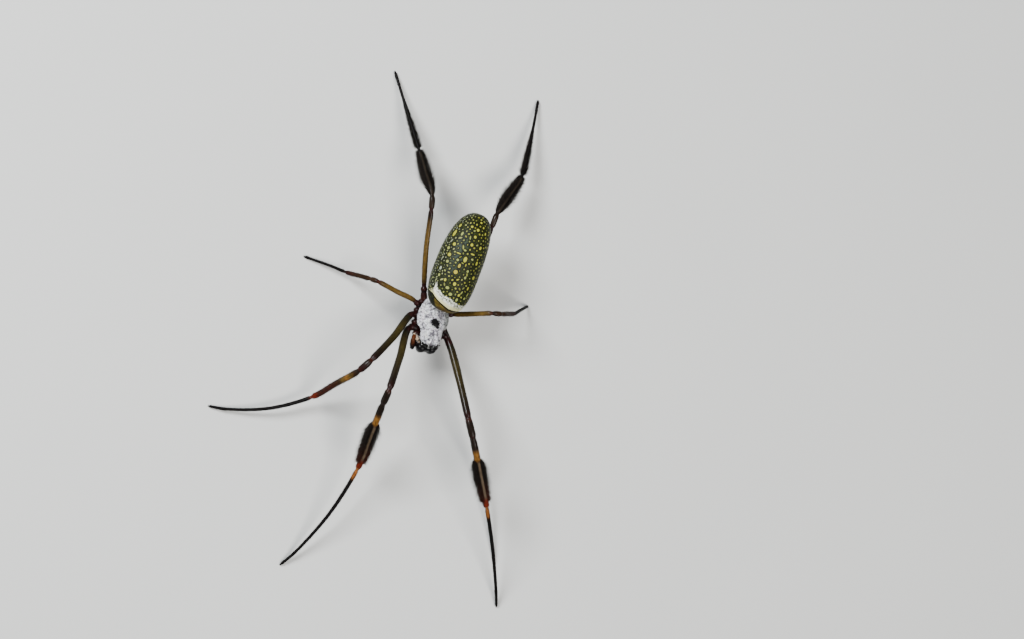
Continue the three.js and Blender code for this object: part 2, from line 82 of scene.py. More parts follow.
class Paint(Enum):
    """Colours of the animal, as 8-bit sRGB, among them a few tones of painted light and shade."""

    BLACK = (13, 11, 11)
    JET = (8, 7, 8)
    BRISTLE = (11, 10, 9)
    BRISTLE_TIP = (30, 27, 24)
    BRUSH_TIP = (42, 37, 34)
    # Painted highlight streak along the top of a brush.
    RUST = (70, 26, 13)
    BARE_STREAK = (92, 78, 62)
    MAROON = (32, 13, 12)
    RED_BROWN = (46, 19, 12)
    DARK_BROWN = (22, 15, 10)
    OLIVE = (44, 37, 14)
    OLIVE_BROWN = (33, 27, 12)
    OCHRE = (78, 59, 24)
    OCHRE_DARK = (56, 41, 18)
    BROWN = (40, 24, 12)
    BLACK_OLIVE = (18, 17, 9)
    PLUM = (34, 24, 16)
    BAND = (110, 74, 30)
    EMBER = (88, 28, 13)
    AMBER = (124, 74, 34)
    PALE_SKIN = (168, 146, 122)
    PALP = (70, 35, 16)
    SILVER = (248, 246, 249)
    SILVER_DARK = (92, 88, 95)
    # Painted shade of the silver down on the side turned from the light.
    SILVER_GREEN = (96, 104, 92)
    GOLD = (88, 75, 26)
    CREAM = (196, 192, 142)
    CREAM_WHITE = (226, 226, 212)
    GROUND = (20, 23, 5)
    GROUND_GREY = (43, 50, 15)
    RIM = (8, 9, 5)
    # Painted reflection of the sky on the hide.
    SHEEN = (60, 74, 70)
    SPOT_YELLOW = (146, 144, 46)
    SPOT_PALE = (126, 132, 68)
    # Spot tone paled by painted grazing sheen on the flanks.
    SPOT_WHITE = (140, 147, 126)
    SPOT_ORANGE = (146, 134, 46)
    BELLY = (58, 46, 26)

    @property
    def linear(self) -> Array:
        """The colour as linear RGB."""
        c = np.array(self.value) / 255
        return np.where(c <= 0.04045, c / 12.92, ((c + 0.055) / 1.055) ** 2.4)


Keys = Sequence[tuple[float, Paint]]


def keys(text: str) -> Keys:
    """Shares of a length with the paint at each, from words such as "0 RUST, 1 BLACK"."""
    return tuple((float(share), Paint[name]) for share, name in (item.split() for item in text.split(",")))


def unit(vectors: Array) -> Array:
    """Vectors brought to length 1, row by row."""
    return vectors / np.maximum(np.linalg.norm(vectors, axis=-1, keepdims=True), 1e-12)


def smooth_step(low: float, high: float, value: Array) -> Array:
    """A soft step from 0 at low to 1 at high."""
    t = np.clip((value - low) / (high - low), 0, 1)
    return t * t * (3 - 2 * t)


def between(first: Array, second: Array, share: Array | float) -> Array:
    """Colour that stands a share of the way from the first to the second."""
    return first + (second - first) * share


def cloud(points: Array, cell: float, seed: int) -> Array:
    """Smooth noise with lumps of a given size.

    Args:
        points: Changes in mm, one row each.
        cell: Size of a lump in mm.
        seed: Chooses the noise.

    Returns:
        One number from 0 to 1 for each place.
    """
    lattice = np.random.default_rng(seed).random((32, 32, 32))
    base = np.floor(points / cell).astype(int)
    near = points / cell - base
    near = near * near * (3 - 2 * near)
    out = np.zeros(len(points))
    for corner in np.ndindex(2, 2, 2):
        share = np.prod(np.where(np.array(corner), near, 1 - near), axis=1)
        out += share * lattice[tuple(((base + corner) % 32).T)]
    return out


def turned(points: Array, angle: float) -> Array:
    """Points turned about the upright axis."""
    c, s = math.cos(angle), math.sin(angle)
    return points @ np.array([[c, s, 0], [-s, c, 0], [0, 0, 1]])


def in_plan(points: Array) -> Array:
    """Places of the legs and the waist in the frame."""
    return points + BODY_PLACE


def in_prosoma(points: Array) -> Array:
    """Places of the front body in the frame."""
    return turned(points, PROSOMA_TURN) + BODY_PLACE


def on_side(side: Side) -> Change:
    """Places in the frame of a part of the front body that is drawn on the left."""
    return lambda points: in_prosoma(points * np.array([side.value, 1, 1]))


def blend_paint(marks: Keys, share: Array) -> Array:
    """Colour along a row of keys.

    Args:
        marks: Shares of the length and the paint at each.
        share: Where the colour is wanted.

    Returns:
        One linear RGB row for each share.
    """
    at = [key for key, _ in marks]
    rgb = np.array([paint.linear for _, paint in marks])
    return np.column_stack([np.interp(share, at, rgb[:, i]) for i in range(3)])


def catmull_rom(points: Array, steps: int) -> Array:
    """Centripetal Catmull-Rom curve.

    Args:
        points: The places that the curve passes through.
        steps: How many points it gets between two of them.

    Returns:
        The points of the curve, one row each.
    """
    line = np.vstack([2 * points[0] - points[1], points, 2 * points[-1] - points[-2]])
    out = []
    t = (np.arange(steps) / steps)[:, None]
    for i in range(len(points) - 1):
        p0, p1, p2, p3 = stretch = line[i : i + 4]
        d0, d1, d2 = (math.sqrt(max(np.linalg.norm(b - a), 1e-8)) for a, b in zip(stretch, stretch[1:]))
        t1 = ((p1 - p0) / d0 - (p2 - p0) / (d0 + d1) + (p2 - p1) / d1) * d1
        t2 = ((p2 - p1) / d1 - (p3 - p1) / (d1 + d2) + (p3 - p2) / d2) * d1
        square, cube = -3 * p1 + 3 * p2 - 2 * t1 - t2, 2 * p1 - 2 * p2 + t1 + t2
        out.append(p1 + t1 * t + square * t**2 + cube * t**3)
    return np.vstack([*out, points[-1]])


class Course:
    """A smooth path that is read by the length along it."""

    def __init__(self, points: Sequence[Sequence[float]], steps: int = 30) -> None:
        """Lays the path through the points.

        Args:
            points: The places that the path passes through.
            steps: Points of the curve between two of them.
        """
        self.line = catmull_rom(np.array(points, float), steps)
        gaps = np.linalg.norm(np.diff(self.line, axis=0), axis=1)
        self.lengths = np.concatenate([[0], np.cumsum(gaps)])
        self.joints = self.lengths[::steps]
        self.total = float(self.lengths[-1])
        self.slopes = unit(np.gradient(self.line, self.lengths, axis=0))

    def frames(self, length: Array) -> tuple[Array, Array, Array, Array]:
        """Places and directions along the path.

        Args:
            length: Lengths from the start of the path.

        Returns:
            The place, direction, sideways and over direction at each.
        """
        place, slope = (
            np.column_stack([np.interp(length, self.lengths, rows[:, i]) for i in range(3)])
            for rows in (self.line, self.slopes)
        )
        along = unit(slope)
        across = unit(np.cross(UP, along))
        return place, along, across, np.cross(along, across)


def plain_mesh(bm: bmesh.types.BMesh) -> tuple[Mesh, Array]:
    """Makes a mesh of a bmesh.

    Args:
        bm: The plain shape. It is freed.

    Returns:
        The mesh, and its points, one row each.
    """
    mesh = bpy.data.meshes.new("plain")
    bm.to_mesh(mesh)
    bm.free()
    points = np.zeros(len(mesh.vertices) * 3)
    mesh.vertices.foreach_get("co", points)
    return mesh, points.reshape(-1, 3)


def unit_cylinder(rows: int, sides: int) -> tuple[Mesh, Array]:
    """Closed cylinder of radius 1 from z = 0 to z = 1.

    Args:
        rows: Rows along it.
        sides: Sides round it.

    Returns:
        The mesh and its points.
    """
    bm = bmesh.new()
    bmesh.ops.create_cone(bm, cap_ends=True, cap_tris=True, segments=sides, radius1=1, radius2=1, depth=1)
    bmesh.ops.translate(bm, vec=(0, 0, 0.5), verts=bm.verts)
    uprights = [e for e in bm.edges if abs(e.verts[0].co.z - e.verts[1].co.z) > 0.5]
    bmesh.ops.subdivide_edges(bm, edges=uprights, cuts=rows - 1, use_grid_fill=True)
    return plain_mesh(bm)


def unit_ball(segments: int, rings: int) -> tuple[Mesh, Array]:
    """Ball of radius 1 with its poles on Z.

    Args:
        segments: Sides round it.
        rings: Rows from pole to pole.

    Returns:
        The mesh and its points.
    """
    bm = bmesh.new()
    bmesh.ops.create_uvsphere(bm, u_segments=segments, v_segments=rings, radius=1)
    return plain_mesh(bm)


def place_points(mesh: Mesh, points: Array) -> None:
    """Moves a mesh's points to their places in the frame and gives it smooth shading.

    Args:
        mesh: The mesh.
        points: The places in mm.
    """
    mesh.vertices.foreach_set("co", (points * MM).ravel())
    shell = bmesh.new()
    shell.from_mesh(mesh)
    bmesh.ops.recalc_face_normals(shell, faces=shell.faces)
    shell.to_mesh(mesh)
    shell.free()
    mesh.polygons.foreach_set("use_smooth", np.ones(len(mesh.polygons), bool))
    mesh.update()


def paint_points(mesh: Mesh, colours: Array, name: str = "paint") -> None:
    """Stores a linear colour for each point of a mesh.

    Args:
        mesh: The mesh.
        colours: One row for each point, or one colour for all.
        name: Name of the attribute.
    """
    layer = mesh.attributes.new(name, "FLOAT_COLOR", "POINT")
    rows = np.ones((len(mesh.vertices), 4))
    rows[:, :3] = colours
    layer.data.foreach_set("color", rows.ravel().astype(np.float32))


def mark_points(mesh: Mesh, **marks: Array) -> None:
    """Stores one number for each point of a mesh, under the name of each mark."""
    for name, values in marks.items():
        mesh.attributes.new(name, "FLOAT", "POINT").data.foreach_set("value", values.astype(np.float32))


@dataclass
class Skin:
    """A closed surface with what its coat needs to know.

    Its mesh and points, the share of the way along its axis, the turn round it in radians, the way that hair
    lies, and further marks by name.
    """

    mesh: Mesh
    points: Array
    along: Array
    turn: Array
    lie: Array
    marks: dict[str, Array] = field(default_factory=dict)

    def __post_init__(self) -> None:
        """Moves the mesh's points to their places, and reads its triangles."""
        place_points(self.mesh, self.points)
        self.mesh.calc_loop_triangles()
        corners = np.zeros(len(self.mesh.loop_triangles) * 3, np.int32)
        self.mesh.loop_triangles.foreach_get("vertices", corners)
        self.triangles = corners.reshape(-1, 3)
        self.lie = np.broadcast_to(self.lie, self.points.shape)

    def corners(self) -> list[Array]:
        """The three corners of every triangle."""
        return [self.points[self.triangles[:, i]] for i in range(3)]

    def normals(self) -> Array:
        """Normals of the points, from the triangles round them."""
        a, b, c = self.corners()
        faces = np.cross(b - a, c - a)
        out = np.zeros_like(self.points)
        for i in range(3):
            np.add.at(out, self.triangles[:, i], faces)
        return unit(out)


def wound(
    course: Course, radius: Change, rows: int, sides: int, place: Change, lowest: float = -math.inf
) -> Skin:
    """Round body wound along a course.

    Args:
        course: The middle of the body.
        radius: Gives the radius at each share of the length.
        rows: Rows along it.
        sides: Sides round it.
        place: Brings the points into the frame.
        lowest: Height that points below it are raised to.

    Returns:
        Its skin.
    """
    mesh, plain = unit_cylinder(rows, sides)
    share, angle = plain[:, 2], np.arctan2(plain[:, 1], plain[:, 0])
    middle, along, across, over = course.frames(share * course.total)
    reach = (radius(share) * np.linalg.norm(plain[:, :2], axis=1))[:, None]
    out = np.cos(angle)[:, None] * across + np.sin(angle)[:, None] * over
    points = place(middle + reach * out)
    points[:, 2] = np.maximum(points[:, 2], lowest)
    return Skin(mesh, points, share, angle, place(along) - place(ORIGIN))


def cone(points: Sequence[Point], form: Profile, rows: int, sides: int, place: Change = in_plan) -> Skin:
    """Round body through a few points.

    Args:
        points: The places that its middle passes through.
        form: Shares of the length and the radius at each.
        rows: Rows along it.
        sides: Sides round it.
        place: Brings the points into the frame.

    Returns:
        Its skin.
    """
    shares, radii = np.array(form).T
    return wound(Course(points), lambda share: np.interp(share, shares, radii), rows, sides, place)


def ball(half: Point, middle: Point, segments: int, rings: int, place: Change) -> tuple[Mesh, Array]:
    """Ball that is pressed to three half sizes.

    Args:
        half: The half sizes.
        middle: Its middle.
        segments: Sides round it.
        rings: Rows from pole to pole.
        place: Brings the points into the frame.

    Returns:
        The mesh, and its points in the frame.
    """
    mesh, plain = unit_ball(segments, rings)
    points = place(plain * np.array(half) + np.array(middle))
    place_points(mesh, points)
    return mesh, points


def show(name: str, data: bpy.types.ID) -> bpy.types.Object:
    """Puts an object that holds some data into the scene.

    Args:
        name: Name of the object.
        data: Its mesh, lamp or camera.

    Returns:
        The new object.
    """
    item = bpy.data.objects.new(name, data)
    bpy.context.collection.objects.link(item)
    return item


def add_piece(name: str, mesh: Mesh, material: bpy.types.Material, slot: str, *nodes: str) -> None:
    """Puts a finished mesh into the scene, on the body.

    Args:
        name: Name of the piece.
        mesh: Its mesh, in place in the frame.
        material: Its finish.
        slot: The material slot; not used.
        nodes: The nodes that it stands for.
    """
    mesh.name = name
    mesh.materials.append(material)
    piece = show(name, mesh)
    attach(piece, "root")
    if nodes:
        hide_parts(*nodes)
    LOG.info("%s: %d faces", name, len(mesh.polygons))


class Nodes:
    """Short ways to add and link shader nodes."""

    def __init__(self, name: str) -> None:
        """Starts a material with an empty tree.

        Args:
            name: Name of the material.
        """
        self.material = bpy.data.materials.new(name)
        self.material.use_nodes = True
        self.tree = self.material.node_tree
        self.tree.nodes.clear()
        self.output = self.tree.nodes.new("ShaderNodeOutputMaterial")

    def add(self, kind: str, **values: object) -> bpy.types.Node:
        """Adds a node.

        Args:
            kind: What its type is called after ShaderNode.
            values: Its properties, and its inputs with _ for each space.

        Returns:
            The node.
        """
        node = self.tree.nodes.new("ShaderNode" + kind)
        for name, value in values.items():
            if hasattr(node, name):
                setattr(node, name, value)
            else:
                self.feed(node.inputs[name.replace("_", " ")], value)
        return node

    def feed(self, socket: Socket, value: object) -> None:
        """Links a socket to another, or sets its value.

        Args:
            socket: The input.
            value: An output, a number, or three or four numbers.
        """
        if isinstance(value, Socket):
            self.tree.links.new(value, socket)
        else:
            socket.default_value = value

    def colour(self, name: str) -> Socket:
        """Colour that is stored on the mesh."""
        return self.add("Attribute", attribute_name=name).outputs["Color"]

    def mark(self, name: str) -> Socket:
        """Number that is stored on the mesh."""
        return self.add("Attribute", attribute_name=name).outputs["Fac"]

    def noise(self, per_mm: float, detail: float = 3.0, roughness: float = 0.55) -> Socket:
        """Noise with so many waves to a millimetre."""
        place, scale = self.add("TexCoord").outputs["Object"], per_mm / MM
        return self.add("TexNoise", Vector=place, Scale=scale, Detail=detail, Roughness=roughness).outputs[0]

    def drift(self, noise: Socket, reach: float) -> Socket:
        """Noise moved to lie about 0, times a reach."""
        return self.math("MULTIPLY", self.math("SUBTRACT", noise, 0.5), reach)

    def ramp(self, value: Socket, low: float, high: float, to_low: float = 0, to_high: float = 1) -> Socket:
        """Smooth change from one number to another.

        Args:
            value: What the change follows.
            low: Where it starts.
            high: Where it ends.
            to_low: The number before.
            to_high: The number after.

        Returns:
            The number.
        """
        node = self.add("MapRange", interpolation_type="SMOOTHSTEP")
        for socket, number in zip(node.inputs[:5], (value, low, high, to_low, to_high)):
            self.feed(socket, number)
        return node.outputs[0]

    def vary(self, noise: Socket, least: float, most: float) -> Socket:
        """Number that goes from least to most with the usual range of a noise."""
        return self.ramp(noise, 0.3, 0.7, least, most)

    def mix(self, factor: object, first: object, second: object, blend: str = "MIX") -> Socket:
        """Mixes two colours.

        Args:
            factor: Share of the second.
            first: One colour.
            second: The other.
            blend: How they are mixed.

        Returns:
            The mixed colour.
        """
        node = self.add("Mix", data_type="RGBA", blend_type=blend)
        self.feed(node.inputs[0], factor)
        for socket, colour in zip(node.inputs[6:8], (first, second)):
            self.feed(socket, colour if isinstance(colour, Socket) else (*colour, 1.0))
        return node.outputs[2]

    def shaded(self, colour: Socket, shade: Socket) -> Socket:
        """Colour made darker or lighter by a number."""
        grey = self.add("CombineColor", Red=shade, Green=shade, Blue=shade).outputs[0]
        return self.mix(1.0, colour, grey, "MULTIPLY")

    def math(self, operation: str, first: object, second: object) -> Socket:
        """One sum on two numbers."""
        node = self.add("Math", operation=operation)
        for socket, number in zip(node.inputs, (first, second)):
            self.feed(socket, number)
        return node.outputs[0]

    def bump(self, height: Socket, depth_mm: float) -> Socket:
        """Bump of a depth in mm from a height between 0 and 1."""
        return self.add("Bump", Strength=1.0, Distance=depth_mm * MM, Height=height).outputs[0]

    def finish(self, **values: object) -> bpy.types.Material:
        """Ends the tree in a principled shader.

        Args:
            values: The shader's inputs with _ for each space.

        Returns:
            The material.
        """
        shader = self.add("BsdfPrincipled", **values)
        self.tree.links.new(shader.outputs[0], self.output.inputs[0])
        return self.material


@dataclass(frozen=True)
class Cuticle:
    """Hard skin whose colour is painted on its points: glossy, or matt where marked, mottled and pitted."""

    name: str
    roughness: float = 0.4
    mottle: float = 0.3
    mottle_per_mm: float = 1.6
    pits_per_mm: float = 14.0
    pit_depth: float = 0.012
    shine: float = 0.05
    gloss: float = 0.11
    gloss_roughness: float = 0.12

    def build(self) -> bpy.types.Material:
        """Makes the material."""
        n = Nodes(self.name)
        shade = n.vary(n.noise(self.mottle_per_mm, 4.0), 1 - self.mottle, 1 + self.mottle * 0.4)
        grain = n.noise(self.pits_per_mm)
        return n.finish(
            Base_Color=n.shaded(n.colour("paint"), shade),
            Roughness=n.vary(grain, self.roughness * 0.8, self.roughness * 1.25),
            Normal=n.bump(grain, self.pit_depth),
            Specular_IOR_Level=self.shine,
            Coat_Weight=n.ramp(n.mark("matt"), 0.0, 1.0, self.gloss, 0.0),
            Coat_Roughness=self.gloss_roughness,
        )


@dataclass(frozen=True)
class Hair:
    """Hair or scale-like down, painted at each root and a little shaded by noise."""

    name: str
    roughness: float = 0.6
    sheen: float = 0.0
    shine: float = 0.02

    def build(self) -> bpy.types.Material:
        """Makes the material."""
        n = Nodes(self.name)
        return n.finish(
            Base_Color=n.shaded(n.colour("paint"), n.vary(n.noise(3.0, 2.0), 0.8, 1.12)),
            Roughness=n.vary(n.noise(9.0), self.roughness * 0.85, self.roughness * 1.15),
            Specular_IOR_Level=self.shine,
            Sheen_Weight=self.sheen,
        )


@dataclass(frozen=True)
class SpottedHide:
    """Hide of the abdomen: pale dark-rimmed spots on a dark ground with a painted bluish sheen, a cream band
    and a golden front face.

    The points carry the distance in mm to the nearest spot's edge, to the band's edges and to the front face.
    """

    name: str = "spotted_hide"
    roughness: float = 0.46
    relief_depth: float = 0.035
    shine: float = 0.09

    def banded(self, n: Nodes, body: Socket) -> Socket:
        """Lays the cream band, which breaks up into specks toward the back, on the body.

        Args:
            n: The tree.
            body: Colour behind the band.

        Returns:
            The colour.
        """
        edge = n.mark("band")
        ragged = n.math("ADD", edge, n.drift(n.noise(1.5, 4.0, 0.7), 1.6))
        speckle = n.ramp(n.noise(3.4, 3.0, 0.7), 0.36, 0.6)
        specks = n.math("MULTIPLY", n.math("SUBTRACT", 1.0, n.ramp(edge, 0.5, 1.9)), speckle)
        cream = n.mix(n.mark("band_low"), Paint.CREAM_WHITE.linear, Paint.CREAM.linear)
        cream = n.mix(specks, cream, Paint.GROUND_GREY.linear)
        return n.mix(n.ramp(ragged, -0.05, 0.12), body, cream)

    def build(self) -> bpy.types.Material:
        """Makes the material."""
        n = Nodes(self.name)
        wander = n.drift(n.noise(3.2), 0.22)
        spot = n.math("ADD", n.mark("spot"), n.math("MULTIPLY", wander, 0.35))
        net = n.ramp(n.noise(2.4, 4.0, 0.65), 0.42, 0.62)
        ground = n.mix(net, Paint.GROUND.linear, Paint.GROUND_GREY.linear)
        # Painted reflection: a bluish sky sheen is mixed into the ground along the back.
        ground = n.mix(n.mark("sheen"), ground, Paint.SHEEN.linear)
        ground = n.mix(n.ramp(spot, 0.05, 0.3), Paint.RIM.linear, ground)
        ground = n.mix(n.mark("belly"), ground, n.mix(net, Paint.BELLY.linear, Paint.RIM.linear))
        body = self.banded(n, n.mix(n.ramp(spot, -0.05, 0.03), n.colour("spot_paint"), ground))
        gold = n.mix(n.ramp(n.noise(1.3), 0.35, 0.7), Paint.GOLD.linear, Paint.OCHRE_DARK.linear)
        gold = n.mix(n.mark("flank"), gold, ground)
        edge = n.math("ADD", n.mark("front"), n.math("MULTIPLY", wander, 0.9))
        face = n.mix(n.ramp(edge, -0.04, 0.06), gold, Paint.RIM.linear)
        fine = n.noise(11.0)
        relief = n.math("ADD", n.math("MULTIPLY", n.ramp(spot, -0.1, 0.15), -0.35), fine)
        return n.finish(
            Base_Color=n.mix(n.ramp(edge, 0.4, 0.5), face, body),
            Roughness=n.vary(fine, self.roughness * 0.85, self.roughness * 1.2),
            Normal=n.bump(relief, self.relief_depth),
            Specular_IOR_Level=self.shine,
        )


@dataclass(frozen=True)
class Glass:
    """Dark polished eye."""

    name: str = "eye"
    tint: Paint = Paint.JET
    roughness: float = 0.06
    coat_index: float = 2.4

    def build(self) -> bpy.types.Material:
        """Makes the material."""
        n = Nodes(self.name)
        return n.finish(
            Base_Color=n.mix(n.vary(n.noise(2.0), 0.0, 1.0), self.tint.linear, Paint.MAROON.linear * 0.4),
            Roughness=self.roughness,
            Coat_Weight=1.0,
            Coat_Roughness=self.roughness,
            Coat_IOR=self.coat_index,
        )


@dataclass(frozen=True)
class PalePaper:
    """Plain pale floor with the least trace of tooth."""

    name: str = "pale_floor"
    shade: Colour = (0.5, 0.5, 0.485)
    darker: float = 0.985

    def build(self) -> bpy.types.Material:
        """Makes the material."""
        n = Nodes(self.name)
        low = tuple(c * self.darker for c in self.shade)
        colour = n.mix(n.vary(n.noise(0.02, 2.0), 0.0, 1.0), self.shade, low)
        return n.finish(Base_Color=colour, Roughness=0.9)


class Finishes:
    """The materials of the animal."""

    def __init__(self) -> None:
        """Makes them."""
        self.cuticle = Cuticle("cuticle").build()
        self.shell = Cuticle("shell_cuticle", mottle=0.25, gloss=0.09, gloss_roughness=0.1).build()
        self.crust = Cuticle("crust_cuticle", roughness=0.5, gloss=0.03).build()
        brow = Cuticle("brow_cuticle", mottle=0.25, pit_depth=0.002, gloss=0.6, gloss_roughness=0.07)
        self.polish = brow.build()
        self.bristle = Hair("bristle").build()
        self.down = Hair("silver_down", roughness=0.7, sheen=0.1).build()
        self.velvet = Hair("velvet").build()
        self.glass = Glass().build()
        self.hide = SpottedHide().build()


@dataclass(frozen=True)
class HairCut:
    """How one kind of hair is cut and how it stands.

    Lengths and widths are in mm. Lift is the angle from the skin at the root and droop how much of it is
    lost by the tip, both in degrees. Flat is the thickness per width.
    """

    length: float
    width: float
    lift: float
    droop: float = 20.0
    flat: float = 0.8
    scatter: float = 12.0
    unevenness: float = 0.25
    waist: float = 0.75
    sink: float = 0.04


@dataclass
class Roots:
    """Where hairs grow: place, normal, lie of the coat, place on the unwrap, and the skin's marks."""

    place: Array
    normal: Array
    lie: Array
    uv: Array
    marks: dict[str, Array]


class Coat:
    """Hairs of one piece, as one mesh: each is a closed tapered sliver bent once."""

    PATCH = 0.003
    WIDTH_SPREAD = 0.2
    TONE_SPREAD = 0.18
    CORNERS = np.array([[0, 0], [1, 0], [0.5, 0.2], [0, 0.6], [1, 0.6], [0.5, 0.7], [0.5, 1]])
    SLIVER = np.array([[0, 2, 1], [0, 1, 4], [0, 4, 3], [1, 2, 5], [1, 5, 4],
                       [2, 0, 3], [2, 3, 5], [3, 4, 6], [4, 5, 6], [5, 3, 6]])

    def __init__(self, seed: int) -> None:
        """Starts an empty coat.

        Args:
            seed: Chooses its draw.
        """
        self.rng = np.random.default_rng(seed)
        self.points: list[Array] = []
        self.paint: list[Array] = []
        self.uv: list[Array] = []

    def roots(self, skin: Skin, count: int, weight: Array) -> Roots:
        """Draws places on a skin.

        Args:
            skin: The skin to grow on.
            count: How many places.
            weight: How thick the coat is at each point of the skin, from 0.

        Returns:
            The places, with what the skin says there.
        """
        a, b, c = skin.corners()
        area = np.linalg.norm(np.cross(b - a, c - a), axis=1) * weight[skin.triangles].mean(axis=1)
        chosen = skin.triangles[self.rng.choice(len(area), count, p=area / area.sum())]
        r1, r2 = np.sqrt(self.rng.random(count)), self.rng.random(count)
        share = np.column_stack([1 - r1, r1 * (1 - r2), r1 * r2])[:, :, None]
        turn = np.column_stack([np.sin(skin.turn), np.cos(skin.turn), skin.along])
        place, normal, lie, turn = (
            (rows[chosen] * share).sum(axis=1) for rows in (skin.points, skin.normals(), skin.lie, turn)
        )
        uv = np.column_stack([turn[:, 2], np.arctan2(turn[:, 0], turn[:, 1]) / (2 * math.pi) + 0.5])
        marks = {name: (values[chosen] * share[:, :, 0]).sum(axis=1) for name, values in skin.marks.items()}
        return Roots(place, unit(normal), unit(lie), uv, marks)

    def around(self, count: int, spread: float) -> Array:
        """Factors about 1, as a column."""
        return 1 + spread * self.rng.uniform(-1, 1, (count, 1))

    def grow(self, roots: Roots, cut: HairCut, root_paint: Array, tip_paint: Array | None = None) -> None:
        """Adds one hair at each root.

        Args:
            roots: Where they grow.
            cut: How they are cut.
            root_paint: Linear colour of each, or one for all.
            tip_paint: Colour at the tips, if it differs.
        """
        count = len(roots.place)
        longer = roots.marks.get("hair", np.ones(count))[:, None]
        length = cut.length * (self.around(count, cut.unevenness) * longer)
        width = cut.width * self.around(count, self.WIDTH_SPREAD)
        normal = roots.normal
        lie = unit(roots.lie - normal * (roots.lie * normal).sum(axis=1, keepdims=True))
        swing = np.radians(cut.scatter) * self.rng.normal(0, 1, (count, 1))
        lie = np.cos(swing) * lie + np.sin(swing) * np.cross(normal, lie)
        lift = np.radians(cut.lift + cut.scatter * 0.5 * self.rng.normal(0, 1, (count, 1)))
        drop = lift - np.radians(cut.droop)
        first, second = (np.cos(angle) * lie + np.sin(angle) * normal for angle in (lift, drop))
        foot = roots.place - cut.sink * normal
        middle = foot + 0.5 * length * first
        side = unit(np.cross(first, normal))
        over = np.cross(first, side)
        rings = []
        for centre, scale in ((foot, 1.0), (middle, cut.waist)):
            for turn in np.radians([90, 210, 330]):
                reach = 0.5 * width * scale * (math.cos(turn) * side + cut.flat * math.sin(turn) * over)
                rings.append(centre + reach)
        self.points.append(np.stack([*rings, middle + 0.5 * length * second], axis=1))
        low = np.broadcast_to(root_paint, (count, 3)) * self.around(count, self.TONE_SPREAD)
        high = low if tip_paint is None else np.broadcast_to(tip_paint, (count, 3))
        self.paint.append(np.stack([low] * 3 + [0.5 * (low + high)] * 3 + [high], axis=1))
        self.uv.append(np.clip(roots.uv[:, None, :], 0.002, 0.994) + (self.PATCH * self.CORNERS)[None])

    def build(self, name: str, material: bpy.types.Material, slot: str) -> None:
        """Joins the hairs into one piece.

        Args:
            name: Name of the piece.
            material: Its finish.
            slot: The material slot, handed on to add_piece.
        """
        points = np.concatenate(self.points).reshape(-1, 3)
        hairs = len(points) // 7
        triangles = (self.SLIVER[None] + 7 * np.arange(hairs)[:, None, None]).reshape(-1, 3)
        mesh = bpy.data.meshes.new(name)
        mesh.vertices.add(len(points))
        mesh.loops.add(triangles.size)
        mesh.polygons.add(len(triangles))
        mesh.vertices.foreach_set("co", (points * MM).ravel())
        mesh.loops.foreach_set("vertex_index", triangles.ravel())
        mesh.polygons.foreach_set("loop_start", np.arange(0, triangles.size, 3))
        mesh.polygons.foreach_set("use_smooth", np.ones(len(triangles), bool))
        mesh.update(calc_edges=True)
        paint_points(mesh, np.concatenate(self.paint).reshape(-1, 3))
        spots = np.concatenate(self.uv).reshape(-1, 2)[triangles.ravel()]
        mesh.uv_layers.new(name="OFBake").data.foreach_set("uv", spots.ravel())
        add_piece(name, mesh, material, slot)


class Segment(Enum):
    """Pieces of a leg, as the joints of its course that each lies between."""

    COXA = (0, 1)
    FEMUR = (1, 3)
    PATELLA = (3, 4)
    TIBIA = (4, 6)
    METATARSUS = (6, 9)


LEG_FORMS: tuple[Profile, ...] = (
    ((0, 0.72), (0.12, 0.95), (0.4, 0.98), (0.6, 0.86), (0.67, 0.76), (0.8, 0.98), (0.93, 0.96), (1, 0.78)),
    ((0, 0.74), (0.05, 0.93), (0.25, 1), (0.6, 0.94), (0.93, 0.95), (0.97, 0.94), (1, 0.7)),
    ((0, 0.86), (0.1, 1.03), (0.3, 1.1), (0.75, 1.12), (0.9, 1.06), (1, 0.84)),
    ((0, 0.8), (0.06, 1.02), (0.5, 0.95), (0.93, 0.94), (0.975, 0.94), (1, 0.7)),
    ((0, 0.85), (0.03, 1.22), (0.12, 1.12), (0.45, 1), (0.8, 0.86), (0.815, 0.8), (0.84, 0.94)),
)


@dataclass(frozen=True)
class Brush:
    """Bristles on part of one segment.

    Start and end are shares of the segment, reach is how far the longest stand from the skin, swell where
    along the brush they are longest, and first and last say how much of the reach is left at both ends.
    """

    segment: Segment
    start: float
    end: float
    hairs: int
    reach: float
    swell: float
    first: float
    last: float
    last_root: Paint = Paint.BRISTLE

    def length_factor(self, along: Array) -> Array:
        """Share of the full reach.

        Args:
            along: Shares of the brush.

        Returns:
            The factor at each.
        """
        rise = np.clip(along / self.swell, 0, 1)
        fall = np.clip((1 - along) / (1 - self.swell), 0, 1)
        start, end = (
            least + (1 - least) * np.sin(share * math.pi / 2)
            for least, share in ((self.first, rise), (self.last, fall))
        )
        return np.where(along < self.swell, start, end)


@dataclass(frozen=True)
class LegPair:
    """Sizes that both legs of a pair share, with the colours of their segments from the hip outward.

    Root is where the left leg starts, radii are those of the segments and dull says how matt the shins are.
    The last field sets how strongly a highlight streak is painted along the top of the first brush.
    """

    root: tuple[float, float]
    radii: tuple[float, ...]
    tarsus: float
    marks: tuple[Keys, ...]
    brushes: tuple[Brush, ...] = ()
    dull: float = 0.0
    highlight_top: float = 0.15


